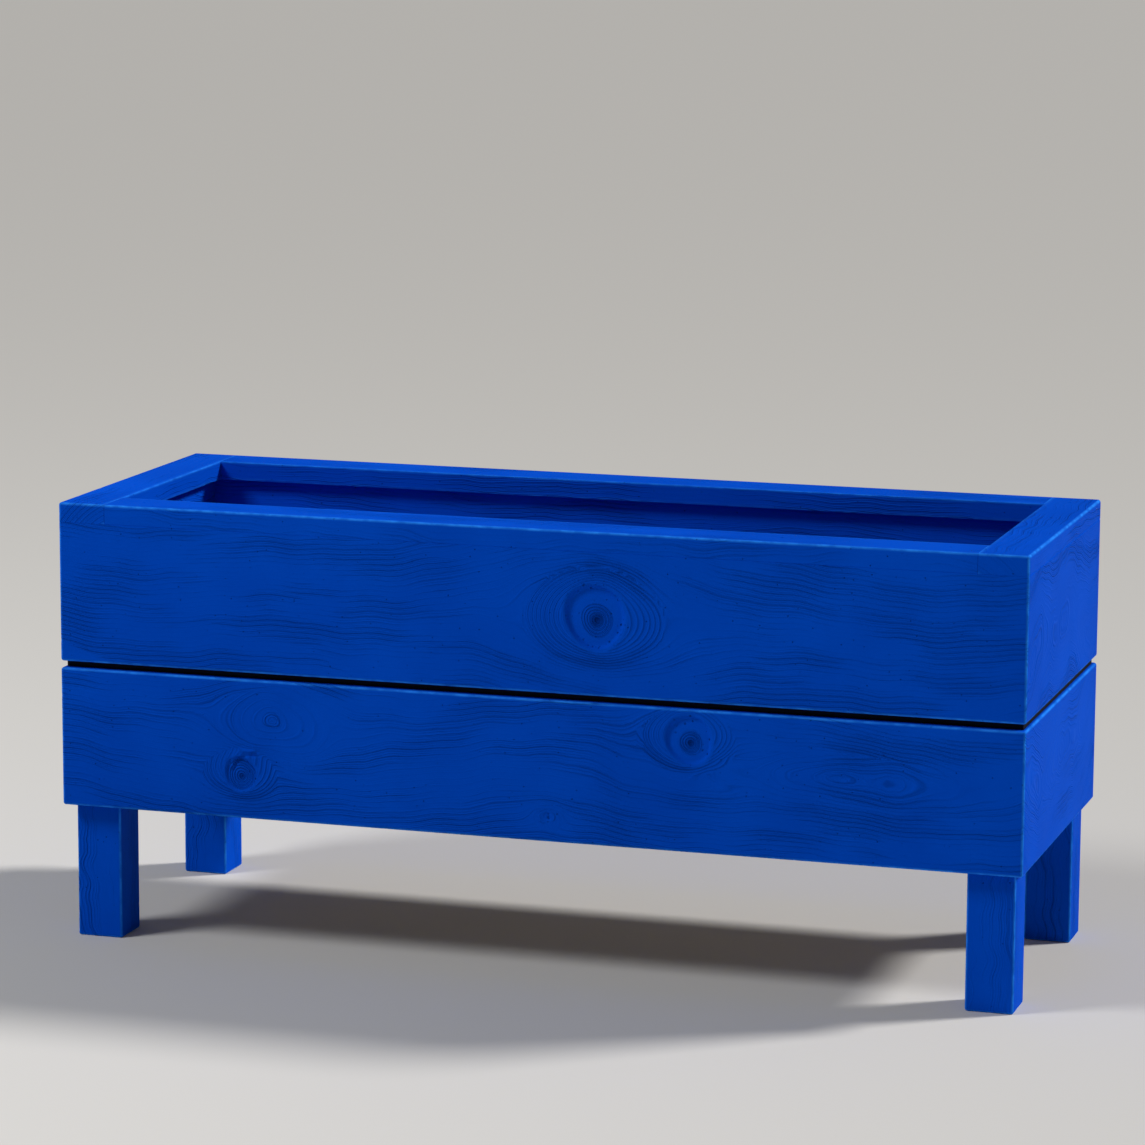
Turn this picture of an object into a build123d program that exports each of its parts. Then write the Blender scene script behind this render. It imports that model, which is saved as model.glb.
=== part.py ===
from build123d import *
import os

# Raised timber planter: a long box of thick mitred planks in two courses, a flat cap frame on top,
# a slatted base inside and four short legs under the corners. Each leg's top is notched, so the
# box sits on its shoulder and the rest stands up inside the corner.
# The origin is the middle of the footprint on the floor: +X along the box, +Y to its back, +Z up.
# All sizes are in millimetres.

# Box
box_length = 1200.0
box_width = 440.0
leg_clearance = 168.0  # floor to the underside of the box
plank_height = 172.0
plank_thickness = 46.0
plank_arris = 3.5

# Shadow gap between the courses, closed by spacer strips set back from the faces
shadow_gap = 8.0
spacer_width = 30.0
spacer_setback_long = 10.0  # front and back
spacer_setback_end = 6.0

# Cap frame
cap_width = 60.0
cap_thickness = 24.0
cap_arris = 3.5
cap_inner_arris = 2.0

# Legs
leg_side = 58.0
leg_inset_x = 12.0
leg_inset_y = 18.0
leg_rise = 130.0  # height of the notched top above the shoulder
leg_arris = 3.0

# Base
bearer_side = 30.0
bearer_arris = 1.5
slat_count = 10
slat_width = 100.0
slat_thickness = 20.0
slat_gap = 10.0
slat_clearance = 1.0  # to the planks and round the legs
slat_arris = 2.0

# Dowels between the courses and loose tenons across the mitres
dowel_radius = 5.0
dowel_depth = 24.0  # into each plank
dowel_chamfer = 1.0
dowel_places_x = (-480.0, -160.0, 160.0, 480.0)
dowel_places_y = (-90.0, 90.0)
tenon_height = 40.0
tenon_thickness = 8.0
tenon_length = 30.0
tenon_inset = 27.0  # from both outer faces
tenon_spread = 36.0  # above and below the middle of the plank

# Fixings
frame_screw_length = 55.0
frame_screw_radius = 2.5
frame_screw_head = 4.6
slat_screw_length = 42.0
slat_screw_radius = 2.0
slat_screw_head = 3.8
slat_screw_spread = 25.0  # each side of the slat's middle
recess_depth = 1.8
recess_blade = 1.1
leg_screw_heights_x = (68.0, 104.0)  # above the shoulder, driven along X
leg_screw_heights_y = (86.0, 118.0)  # above the shoulder, driven along Y
bearer_screw_places = (-440.0, -220.0, 0.0, 220.0, 440.0)
nail_length = 45.0
nail_radius = 1.1
nail_head = 1.7
nail_head_height = 1.5
nail_punch = 1.2  # how far a head lies under the cap's face
nail_inset = 32.0  # from the outer face
nail_places_x = (-500.0, -300.0, -100.0, 100.0, 300.0, 500.0)
nail_places_y = (-180.0, -60.0, 60.0, 180.0)

# Worked out from the sizes above
half_length = box_length / 2
half_width = box_width / 2
inner_x = half_length - plank_thickness
inner_y = half_width - plank_thickness
lower_top = leg_clearance + plank_height
upper_bottom = lower_top + shadow_gap
upper_top = upper_bottom + plank_height
cap_top = upper_top + cap_thickness
leg_inner_x = half_length - leg_inset_x - leg_side
leg_inner_y = half_width - leg_inset_y - leg_side
bearer_top = leg_clearance + bearer_side
slat_top = bearer_top + slat_thickness
slat_pitch = slat_width + slat_gap
fixing_y = inner_y - bearer_side / 2  # middle of a bearer, and of a leg's notched top
sides = {"front": (0, -1), "back": (0, 1), "left": (-1, 0), "right": (1, 0)}
signs = (-1, 1)


def block(x_ends, y_ends, z_ends):
    """A plain rectangular solid between two limits on each axis, given in either order."""
    spans = [sorted(ends) for ends in (x_ends, y_ends, z_ends)]
    middle = [(low + high) / 2 for low, high in spans]
    size = [high - low for low, high in spans]
    return Pos(*middle) * Box(*size)


def level(shape, index):
    """The edges of a shape at its lowest (0) or highest (-1) height."""
    return shape.edges().group_by(Axis.Z)[index]


def screw(length, radius, head_radius):
    """A countersunk screw's full envelope: head face at the origin, pointing down."""
    head_height = head_radius - radius
    tip = 3 * radius
    outline = Polyline(
        (0, 0, 0),
        (head_radius, 0, 0),
        (radius, 0, -head_height),
        (radius, 0, tip - length),
        (0, 0, -length),
        close=True,
    )
    return revolve(make_face(outline), Axis.Z)


def recessed(envelope, head_radius):
    """The same screw with a cross recess sunk in its head."""
    reach = 1.3 * head_radius
    middle = Pos(0, 0, -recess_depth / 2)
    slot = Box(reach, recess_blade, recess_depth)
    cross_slot = Box(recess_blade, reach, recess_depth)
    return envelope - middle * slot - middle * cross_slot


def nail():
    """A lost-head nail, its head's top at the origin, pointing down."""
    tip = 3 * nail_radius
    outline = Polyline(
        (0, 0, 0),
        (nail_head, 0, 0),
        (nail_head, 0, -nail_head_height),
        (nail_radius, 0, -nail_head_height),
        (nail_radius, 0, tip - nail_length),
        (0, 0, -nail_length),
        close=True,
    )
    return revolve(make_face(outline), Axis.Z)


def at(point, outward):
    """Where a fixing goes: its head at the point, facing outward."""
    return Plane(origin=point, z_dir=outward).location


def side_prism(side, bottom, top):
    """The quarter of the box that belongs to one side, cut at 45 degrees through its corners."""
    x, y = sides[side]
    ridge = half_length - half_width
    if x:
        corners = [(x * half_length, -half_width), (x * half_length, half_width), (x * ridge, 0)]
    else:
        corners = [
            (-half_length, y * half_width),
            (half_length, y * half_width),
            (ridge, 0),
            (-ridge, 0),
        ]
    outline = make_face(Polyline(*corners, close=True))
    return Pos(0, 0, bottom) * extrude(outline, amount=top - bottom, dir=(0, 0, 1))


def course(bottom, eased_top):
    """One course of the box as a ring, before its corners are mitred."""
    top = bottom + plank_height
    ring = block((-half_length, half_length), (-half_width, half_width), (bottom, top))
    edges = ring.edges().filter_by(Axis.Z) + level(ring, 0)
    if eased_top:
        edges = edges + level(ring, -1)
    hollow = block((-inner_x, inner_x), (-inner_y, inner_y), (bottom, top))
    return fillet(edges, plank_arris) - hollow


def cap_ring():
    """The cap frame in one piece, with its edges eased, before it is cut into strips."""
    opening_x = half_length - cap_width
    opening_y = half_width - cap_width
    ring = block((-half_length, half_length), (-half_width, half_width), (upper_top, cap_top))
    ring = fillet(ring.edges().filter_by(Axis.Z) + level(ring, -1), cap_arris)
    ring = ring - block((-opening_x, opening_x), (-opening_y, opening_y), (upper_top, cap_top))
    inner = [
        edge
        for edge in level(ring, 0) + level(ring, -1)
        if abs(edge.center().X) < opening_x + 0.1 and abs(edge.center().Y) < opening_y + 0.1
    ]
    return fillet(inner, cap_inner_arris)


def cap_strip(ring, side):
    """One strip of the cap: the end strips run the full width and the long ones lie between them."""
    x, y = sides[side]
    joint_x = half_length - cap_width
    joint_y = half_width - cap_width
    heights = (upper_top, cap_top)
    if x:
        return ring & block((x * joint_x, x * half_length), (-half_width, half_width), heights)
    return ring & block((-joint_x, joint_x), (y * joint_y, y * half_width), heights)


def spacer(side):
    """One spacer strip in the shadow gap: the long ones run through and the ends lie between them."""
    x, y = sides[side]
    end_x = half_length - spacer_setback_end
    long_y = half_width - spacer_setback_long
    heights = (lower_top, upper_bottom)
    if x:
        reach = long_y - spacer_width
        return block((x * (end_x - spacer_width), x * end_x), (-reach, reach), heights)
    return block((-end_x, end_x), (y * (long_y - spacer_width), y * long_y), heights)


def leg(x, y):
    """A leg whose top is notched on both outer faces to stand inside the corner of the box."""
    outer_x = half_length - leg_inset_x
    outer_y = half_width - leg_inset_y
    heights = (leg_clearance, leg_clearance + leg_rise)
    post = block((x * leg_inner_x, x * outer_x), (y * leg_inner_y, y * outer_y), (0, heights[1]))
    post = fillet(post.edges().filter_by(Axis.Z) + level(post, 0), leg_arris)
    notch_x = block((x * inner_x, x * half_length), (0, y * half_width), heights)
    notch_y = block((0, x * half_length), (y * inner_y, y * half_width), heights)
    return post - notch_x - notch_y


def bearer(y):
    """A square bearer along a long plank, between the notched tops of two legs."""
    heights = (leg_clearance, bearer_top)
    bar = block((-leg_inner_x, leg_inner_x), (y * leg_inner_y, y * inner_y), heights)
    return fillet(bar.edges().filter_by(Axis.X), bearer_arris)


def slat_middle(number):
    """The X of one base slat's middle line, numbered from the left."""
    return (number - (slat_count + 1) / 2) * slat_pitch


def slat(number):
    """One base slat across the bearers, notched round the legs where it reaches them."""
    middle = slat_middle(number)
    reach = inner_y - slat_clearance
    ends_x = (middle - slat_width / 2, middle + slat_width / 2)
    board = block(ends_x, (-reach, reach), (bearer_top, slat_top))
    board = fillet(board.edges().filter_by(Axis.Y), slat_arris)
    if max(abs(ends_x[0]), abs(ends_x[1])) < leg_inner_x:
        return board
    x = 1 if middle > 0 else -1
    for y in signs:
        board = board - block(
            (x * (leg_inner_x - slat_clearance), x * half_length),
            (y * (leg_inner_y - slat_clearance), y * half_width),
            (bearer_top, slat_top),
        )
    return board


def dowel_spots():
    """Where the dowels stand, by side, on the middle lines of the spacer strips."""
    long_y = half_width - spacer_setback_long - spacer_width / 2
    end_x = half_length - spacer_setback_end - spacer_width / 2
    spots = {}
    for side, (x, y) in sides.items():
        along_x = [(px, y * long_y) for px in dowel_places_x]
        along_y = [(x * end_x, py) for py in dowel_places_y]
        spots[side] = along_y if x else along_x
    return spots


def dowel(spot):
    """A dowel through a spacer strip, its ends chamfered."""
    length = shadow_gap + 2 * dowel_depth
    peg = Cylinder(dowel_radius, length)
    peg = chamfer(peg.edges().filter_by(GeomType.CIRCLE), dowel_chamfer)
    return Pos(spot[0], spot[1], lower_top + shadow_gap / 2) * peg


def tenon(x, y, height):
    """A round-edged loose tenon that crosses a mitre at right angles."""
    direction = Vector(x, y, 0).normalized()
    middle = Vector(x * (half_length - tenon_inset), y * (half_width - tenon_inset), height)
    plane = Plane(origin=middle - direction * (tenon_length / 2), x_dir=(0, 0, 1), z_dir=direction)
    return extrude(plane * SlotOverall(tenon_height, tenon_thickness), amount=tenon_length)


def course_tenons(bottom, x, y):
    """The two loose tenons in one corner of one course."""
    middle = bottom + plank_height / 2
    return [tenon(x, y, middle - tenon_spread), tenon(x, y, middle + tenon_spread)]


def bearer_screw_row(y):
    """The screws of one bearer, driven from inside the box into the long plank."""
    height = leg_clearance + bearer_side / 2
    return [at((px, y * leg_inner_y, height), (0, -y, 0)) for px in bearer_screw_places]


def leg_screw_places(x, y):
    """The screws of one leg, driven from inside the box, as a place for each plank they go into."""
    fixing_x = (leg_inner_x + inner_x) / 2
    into_end = [
        at((x * leg_inner_x, y * fixing_y, leg_clearance + height), (-x, 0, 0))
        for height in leg_screw_heights_x
    ]
    into_long = [
        at((x * fixing_x, y * leg_inner_y, leg_clearance + height), (0, -y, 0))
        for height in leg_screw_heights_y
    ]
    return into_end, into_long


def nail_spots(side):
    """Where the cap's nails go on one side."""
    x, y = sides[side]
    if x:
        return [(x * (half_length - nail_inset), py) for py in nail_places_y]
    return [(px, y * (half_width - nail_inset)) for px in nail_places_x]


def write(node, shape):
    """Write one node's STEP file."""
    export_step(shape, f"parts/{node}.step")


os.makedirs("parts", exist_ok=True)

# Fixings, each as the envelope that its hole has
frame_screw = screw(frame_screw_length, frame_screw_radius, frame_screw_head)
slat_screw = screw(slat_screw_length, slat_screw_radius, slat_screw_head)
frame_screw_solid = recessed(frame_screw, frame_screw_head)
slat_screw_solid = recessed(slat_screw, slat_screw_head)
cap_nail = nail()

dowels = {side: [dowel(spot) for spot in spots] for side, spots in dowel_spots().items()}
lower_tenons = {(x, y): course_tenons(leg_clearance, x, y) for x in signs for y in signs}
upper_tenons = {(x, y): course_tenons(upper_bottom, x, y) for x in signs for y in signs}
leg_places = {(x, y): leg_screw_places(x, y) for x in signs for y in signs}
bearer_places = {y: bearer_screw_row(y) for y in signs}
slat_places = {
    number: [
        at((slat_middle(number) + offset, y * fixing_y, slat_top), (0, 0, 1))
        for offset in (-slat_screw_spread, slat_screw_spread)
        for y in signs
    ]
    for number in range(1, slat_count + 1)
}
nail_places = {
    side: [Pos(px, py, cap_top - nail_punch) for px, py in nail_spots(side)] for side in sides
}
nail_access = Pos(0, 0, nail_punch / 2) * Cylinder(nail_head, nail_punch)

# The box, its cap and the spacer strips, side by side
lower_course = course(leg_clearance, eased_top=True)
upper_course = course(upper_bottom, eased_top=False)
cap = cap_ring()
for side, (side_x, side_y) in sides.items():
    corners = [(x, y) for x in signs for y in signs if side_x in (0, x) and side_y in (0, y)]
    lower = lower_course & side_prism(side, leg_clearance, lower_top)
    upper = upper_course & side_prism(side, upper_bottom, upper_top)
    lower_cuts = dowels[side] + [peg for corner in corners for peg in lower_tenons[corner]]
    upper_cuts = dowels[side] + [peg for corner in corners for peg in upper_tenons[corner]]
    for corner in corners:
        into_end, into_long = leg_places[corner]
        lower_cuts += [place * frame_screw for place in (into_end if side_x else into_long)]
    if side_y:
        lower_cuts += [place * frame_screw for place in bearer_places[side_y]]
    nails = [place * cap_nail for place in nail_places[side]]
    write(f"{side}_plank_lower", lower - lower_cuts)
    write(f"{side}_plank_upper", upper - upper_cuts - nails)
    write(f"{side}_spacer_strip", spacer(side) - dowels[side])
    access = [place * nail_access for place in nail_places[side]]
    write(f"{side}_cap_strip", cap_strip(cap, side) - nails - access)

# The legs
for (x, y), (into_end, into_long) in leg_places.items():
    name = f"{'front' if y < 0 else 'back'}_{'left' if x < 0 else 'right'}_leg"
    write(name, leg(x, y) - [place * frame_screw for place in into_end + into_long])

# The base
slat_screws = [place for places in slat_places.values() for place in places]
for y, name in ((-1, "front"), (1, "back")):
    cuts = [place * frame_screw for place in bearer_places[y]]
    cuts += [place * slat_screw for place in slat_screws if place.position.Y * y > 0]
    write(f"{name}_bearer", bearer(y) - cuts)
for number, places in slat_places.items():
    write(f"base_slat_{number:02d}", slat(number) - [place * slat_screw for place in places])

# The fixings, one node for each kind
leg_screws = [place for pair in leg_places.values() for places in pair for place in places]
bearer_screws = [place for places in bearer_places.values() for place in places]
cap_nail_places = [place for places in nail_places.values() for place in places]
write("leg_screws", Compound([place * frame_screw_solid for place in leg_screws]))
write("bearer_screws", Compound([place * frame_screw_solid for place in bearer_screws]))
write("slat_screws", Compound([place * slat_screw_solid for place in slat_screws]))
write("cap_nails", Compound([place * cap_nail for place in cap_nail_places]))
write("course_dowels", Compound([peg for pegs in dowels.values() for peg in pegs]))
tenon_pairs = list(lower_tenons.values()) + list(upper_tenons.values())
write("corner_tenons", Compound([peg for pair in tenon_pairs for peg in pair]))
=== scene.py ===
"""Looks of a raised timber planter on legs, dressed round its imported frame.

The planter is a box of thick painted planks in two courses with mitred corners, a flat cap
frame, four notched posts and a slatted base on bearers. All sizes are in metres, in the
frame's own axes: +X along the box to its right end, +Y to its back and +Z up.
"""
import sys
import itertools
import logging
import math
from collections.abc import Callable
from dataclasses import dataclass, field
from enum import Enum

import bpy
import numpy as np
from mathutils import Matrix, Vector


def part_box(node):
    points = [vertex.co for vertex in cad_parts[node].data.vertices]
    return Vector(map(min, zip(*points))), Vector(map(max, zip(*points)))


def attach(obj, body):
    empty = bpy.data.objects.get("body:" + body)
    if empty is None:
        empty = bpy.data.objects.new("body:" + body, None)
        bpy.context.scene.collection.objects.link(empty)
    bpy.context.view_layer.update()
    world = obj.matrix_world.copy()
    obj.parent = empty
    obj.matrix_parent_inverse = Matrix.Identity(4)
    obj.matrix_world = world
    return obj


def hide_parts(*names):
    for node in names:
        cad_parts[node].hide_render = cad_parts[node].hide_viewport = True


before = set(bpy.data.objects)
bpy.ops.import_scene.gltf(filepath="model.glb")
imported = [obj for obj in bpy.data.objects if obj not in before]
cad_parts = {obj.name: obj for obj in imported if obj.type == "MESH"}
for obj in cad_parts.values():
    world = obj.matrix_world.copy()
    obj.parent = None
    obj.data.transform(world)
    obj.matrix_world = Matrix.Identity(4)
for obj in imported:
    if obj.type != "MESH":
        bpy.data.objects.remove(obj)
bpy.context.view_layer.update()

Array = np.ndarray
Socket = bpy.types.NodeSocket
Piece = bpy.types.Object
Material = bpy.types.Material
Triple = tuple[float, float, float]
Colour = tuple[float, float, float, float]
Cuts = tuple[Array, Array, Array]
CellTest = Callable[[Array, Array, Array], Array]
Stretch = Triple  # a closely cut stretch of a board: its middle, half length and step
Spot = tuple[Vector, Vector]  # the middle of a head's face, and the way that it faces

MM = 0.001
BODY = "root"
EDGE_SHARES = (0.34, 0.66, 1.0, 1.45)  # where an eased edge is cut, as multiples of its radius
DEPTH_SHARES = (0.42, 0.70, 1.0, 1.45)  # and behind a face, so that no points meet at a mitre
NEAREST_CUT = 0.55  # how near another cut may lie, as a share of a cut's own spacing
CRISP_ANGLE = 38.0  # degrees between two faces past which their edge is crisp
SAME_PLACE = 1e-7
TINY = 1e-9
ENDS = (-1, 1)
log = logging.getLogger("planter")


class Side(Enum):
    """The four sides of the box, as the outward direction of each."""

    FRONT = (0, -1)
    BACK = (0, 1)
    LEFT = (-1, 0)
    RIGHT = (1, 0)

    @property
    def label(self) -> str:
        """The side's name as the frame's nodes spell it."""
        return self.name.lower()

    @property
    def runs_along_x(self) -> bool:
        """Whether the boards of this side lie along X."""
        return self.value[0] == 0


class Course(Enum):
    """The two courses of planks."""

    LOWER = "lower"
    UPPER = "upper"


class Slot(Enum):
    """The record's material slots."""

    PAINTED_TIMBER = "painted_timber"
    BARE_TIMBER = "bare_timber"
    SCREW_STEEL = "screw_steel"
    NAIL_STEEL = "nail_steel"


# ---------------------------------------------------------------------------------------------
# Lattices and meshes


def spread_stations(low: float, high: float, step: float, kept: list[float],
                    fine: list[Stretch]) -> Array:
    """Chooses where a board's surface is cut along one axis.

    Args:
        low: The lower limit.
        high: The upper limit.
        step: The usual distance between cuts.
        kept: Places that have to be cut exactly.
        fine: Stretches that need closer cuts, each as its middle, half length and step.

    Returns:
        The cuts in rising order, both limits among them.
    """
    chosen = sorted({round(place, 7) for place in [low, high, *kept] if low <= place <= high})
    wanted = [(fine_step, place) for middle, half, fine_step in fine
              for place in np.arange(middle - half, middle + half + fine_step / 2, fine_step)]
    count = max(2, round((high - low) / step))
    wanted += [(step, place) for place in np.linspace(low, high, count + 1)]
    accepted = np.array(chosen)
    for spacing, place in sorted(wanted, key=lambda pair: pair[0]):
        clear = np.abs(accepted - place).min() > NEAREST_CUT * spacing
        if low < place < high and clear:
            accepted = np.append(accepted, place)
    return np.sort(accepted)


def cell_skin(cuts: Cuts, solid: CellTest | None = None) -> tuple[Array, Array]:
    """Makes the skin of the solid cells of a block that is cut along three axes.

    Args:
        cuts: The cuts along each axis.
        solid: Says which cells are timber from the cells' middles, or None for all.

    Returns:
        The points and the four-sided faces, which point outwards.
    """
    middles = [0.5 * (cut[:-1] + cut[1:]) for cut in cuts]
    grid = np.meshgrid(*middles, indexing="ij")
    inside = np.ones(grid[0].shape, bool) if solid is None else solid(*grid)
    padded = np.pad(inside, 1)
    shape = tuple(len(cut) for cut in cuts)
    faces = []
    for axis in range(3):
        across, up = np.eye(3, dtype=int)[[(axis + 1) % 3, (axis + 2) % 3]]
        for sign in ENDS:
            beyond = np.roll(padded, -sign, axis)[1:-1, 1:-1, 1:-1]
            first = np.argwhere(inside & ~beyond)
            first[:, axis] += sign > 0
            corners = [first, first + across, first + across + up, first + up]
            quads = np.stack([np.ravel_multi_index(c.T, shape) for c in corners], axis=1)
            faces.append(quads if sign > 0 else quads[:, ::-1])
    faces = np.concatenate(faces)
    used, renumbered = np.unique(faces, return_inverse=True)
    places = np.unravel_index(used, shape)
    points = np.stack([cut[index] for cut, index in zip(cuts, places)], axis=1)
    return points, renumbered.reshape(-1, 4)


def facing_out(points: Array, faces: Array) -> Array:
    """Turns a closed skin's faces round where they enclose a negative volume.

    Args:
        points: The skin's points.
        faces: Its four-sided faces.

    Returns:
        The faces, pointing outwards.
    """
    a, b, c, d = (points[faces[:, corner]] for corner in range(4))
    volume = np.einsum("ij,ij->i", a, np.cross(b, c) + np.cross(c, d)).sum()
    return faces if volume > 0 else faces[:, ::-1]


def make_object(name: str, points: Array, faces: Array) -> Piece:
    """Makes a smooth-shaded mesh object with crisp corners.

    Args:
        name: The piece's name.
        points: Its points.
        faces: Its faces.

    Returns:
        The object, linked to the scene.
    """
    mesh = bpy.data.meshes.new(name)
    mesh.from_pydata(points.tolist(), [], faces.tolist())
    mesh.shade_smooth()
    mesh.set_sharp_from_angle(angle=math.radians(CRISP_ANGLE))
    piece = bpy.data.objects.new(name, mesh)
    bpy.context.scene.collection.objects.link(piece)
    return piece


def store(piece: Piece, **attributes: Array) -> None:
    """Stores numbers or vectors for the points of a piece.

    Args:
        piece: The mesh object.
        attributes: One row for each point, by the attribute's name.
    """
    for name, values in attributes.items():
        kind, key = ("FLOAT_VECTOR", "vector") if values.ndim == 2 else ("FLOAT", "value")
        attribute = piece.data.attributes.new(name, kind, "POINT")
        attribute.data.foreach_set(key, values.astype(np.float32).ravel())


def hand_over(piece: Piece, material: Material, slot: Slot,
              *nodes: str) -> None:
    """Dresses a finished piece and puts it in the frame in place of its CAD nodes.

    Args:
        piece: The finished mesh object.
        material: Its finish.
        slot: The record's slot for that finish; not used.
        nodes: The CAD nodes that it stands for.
    """
    piece.data.materials.clear()
    piece.data.materials.append(material)
    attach(piece, BODY)
    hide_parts(*nodes)
    log.info("%s: %d faces, for %s", piece.name, len(piece.data.polygons), ", ".join(nodes))


def smooth_step(low: float, high: float, values: Array) -> Array:
    """A ramp from 0 at low to 1 at high with soft ends."""
    share = np.clip((values - low) / (high - low), 0.0, 1.0)
    return share * share * (3.0 - 2.0 * share)


def bell(values: Array) -> Array:
    """A soft bump that is 1 at zero and fades out on both sides."""
    return np.exp(-(values**2))


def ripple(values: Array, *terms: tuple[float, float, float | Array]) -> Array:
    """A sum of sine waves over the values, each given as its size, rate and phase."""
    return sum(size * np.sin(rate * values + phase) for size, rate, phase in terms)


# ---------------------------------------------------------------------------------------------
# Timber: eased edges, growth rings, knots and relief


@dataclass(frozen=True)
class Arris:
    """The eased outer edges of a box, dinged here and there as handling leaves them."""

    low: Triple
    high: Triple
    radius: float
    eased: tuple[bool, ...] = (True,) * 6  # low and high limit of X, then of Y, then of Z
    ding_spacing: float = 46 * MM
    ding_depth: float = 0.75 * MM  # of the deepest
    shallowest: float = 0.25  # as a share of the deepest
    ding_halves: tuple[float, float] = (0.9 * MM, 2.6 * MM)  # the shortest and the longest
    ding_jitter: float = 0.42  # how far a ding strays, as a share of the spacing
    seed: int = 1

    def cuts(self, axis: int) -> list[float]:
        """The cuts that the eased edges need along an axis, and the ones beside them.

        Args:
            axis: The axis that is cut.

        Returns:
            The cuts by the low limit, then by the high one, where those edges are eased.
        """
        reaches = [share * self.radius for share in EDGE_SHARES]
        from_low = [self.low[axis] + reach for reach in reaches] * self.eased[2 * axis]
        from_high = [self.high[axis] - reach for reach in reaches] * self.eased[2 * axis + 1]
        return from_low + from_high

    def overshoot(self, points: Array) -> Array:
        """How far each point lies past the flat part of the faces, by axis and with its sign.

        Args:
            points: The points.

        Returns:
            One vector for each point.
        """
        past = np.zeros_like(points)
        for axis in range(3):
            if self.eased[2 * axis]:
                past[:, axis] += np.minimum(points[:, axis] - self.low[axis] - self.radius, 0)
            if self.eased[2 * axis + 1]:
                past[:, axis] += np.maximum(points[:, axis] - self.high[axis] + self.radius, 0)
        return past

    def round_off(self, points: Array) -> Array:
        """Rounds the edges and corners of whatever reaches the limits.

        Args:
            points: The points with square edges.

        Returns:
            The points with eased and dinged edges.
        """
        past = self.overshoot(points)
        reach = np.linalg.norm(past, axis=1)
        corner = (np.abs(past) > TINY).sum(axis=1) > 1
        safe = np.maximum(reach, TINY)
        shrink = np.where(corner & (reach > self.radius), self.radius / safe, 1)
        moved = points - past + past * shrink[:, None]
        return moved - past * (self.dings(points, past) / safe)[:, None]

    def ding_places(self, axis: int, first: bool, second: bool) -> Array:
        """Where one edge is dinged along its axis.

        Args:
            axis: The edge's axis.
            first: Whether it lies at the high limit of the next axis.
            second: Whether it lies at the high limit of the axis after that.

        Returns:
            The dings as rows of place, half length and depth.
        """
        chance = np.random.default_rng([self.seed, axis, int(first), int(second)])
        length = self.high[axis] - self.low[axis]
        count = max(1, round(length / self.ding_spacing))
        strays = chance.uniform(-self.ding_jitter, self.ding_jitter, count)
        places = self.low[axis] + (np.arange(count) + 0.5 + strays) / count * length
        halves = chance.uniform(*self.ding_halves, count)
        depths = chance.uniform(self.shallowest, 1.0, count) * self.ding_depth
        return np.stack([places, halves, depths], axis=1)

    def dings(self, points: Array, past: Array) -> Array:
        """How deep each point of an edge is pushed in.

        Args:
            points: The points with square edges.
            past: Their overshoot.

        Returns:
            One depth for each point.
        """
        depth = np.zeros(len(points))
        for axis, first, second in itertools.product(range(3), (False, True), (False, True)):
            one, two = past[:, (axis + 1) % 3], past[:, (axis + 2) % 3]
            fullness = np.abs(one * two) / self.radius**2
            here = ((one > 0) == first) & ((two > 0) == second) & (fullness > 0)
            for place, half, deep in self.ding_places(axis, first, second):
                depth[here] += deep * bell((points[here, axis] - place) / half) * fullness[here]
        return depth

    def ding_stretches(self, axis: int, side: Side | None = None) -> list[Stretch]:
        """The stretches that need closer cuts for the dings to show.

        Args:
            axis: The axis that is cut.
            side: The only side whose edges count, or None for all of them.

        Returns:
            The stretches, each as its middle, half length and step.
        """
        stretches = []
        for first, second in itertools.product((False, True), repeat=2):
            highs = {(axis + 1) % 3: first, (axis + 2) % 3: second}
            elsewhere = side and any(highs.get(number, way > 0) != (way > 0)
                                     for number, way in enumerate(side.value) if way)
            eased = all(self.eased[2 * number + high] for number, high in highs.items())
            if eased and not elsewhere:
                stretches += [(place, half, half / 1.5)
                              for place, half, _ in self.ding_places(axis, first, second)]
        return stretches

    def wear(self, points: Array) -> Array:
        """Rubbing exposure and painted highlight of each point: 1 on an eased edge and 0 on a flat
        face.
        """
        past = np.sort(np.abs(self.overshoot(points)), axis=1) / self.radius
        return np.clip(1.6 * past[:, 1], 0.0, 1.0)


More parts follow.
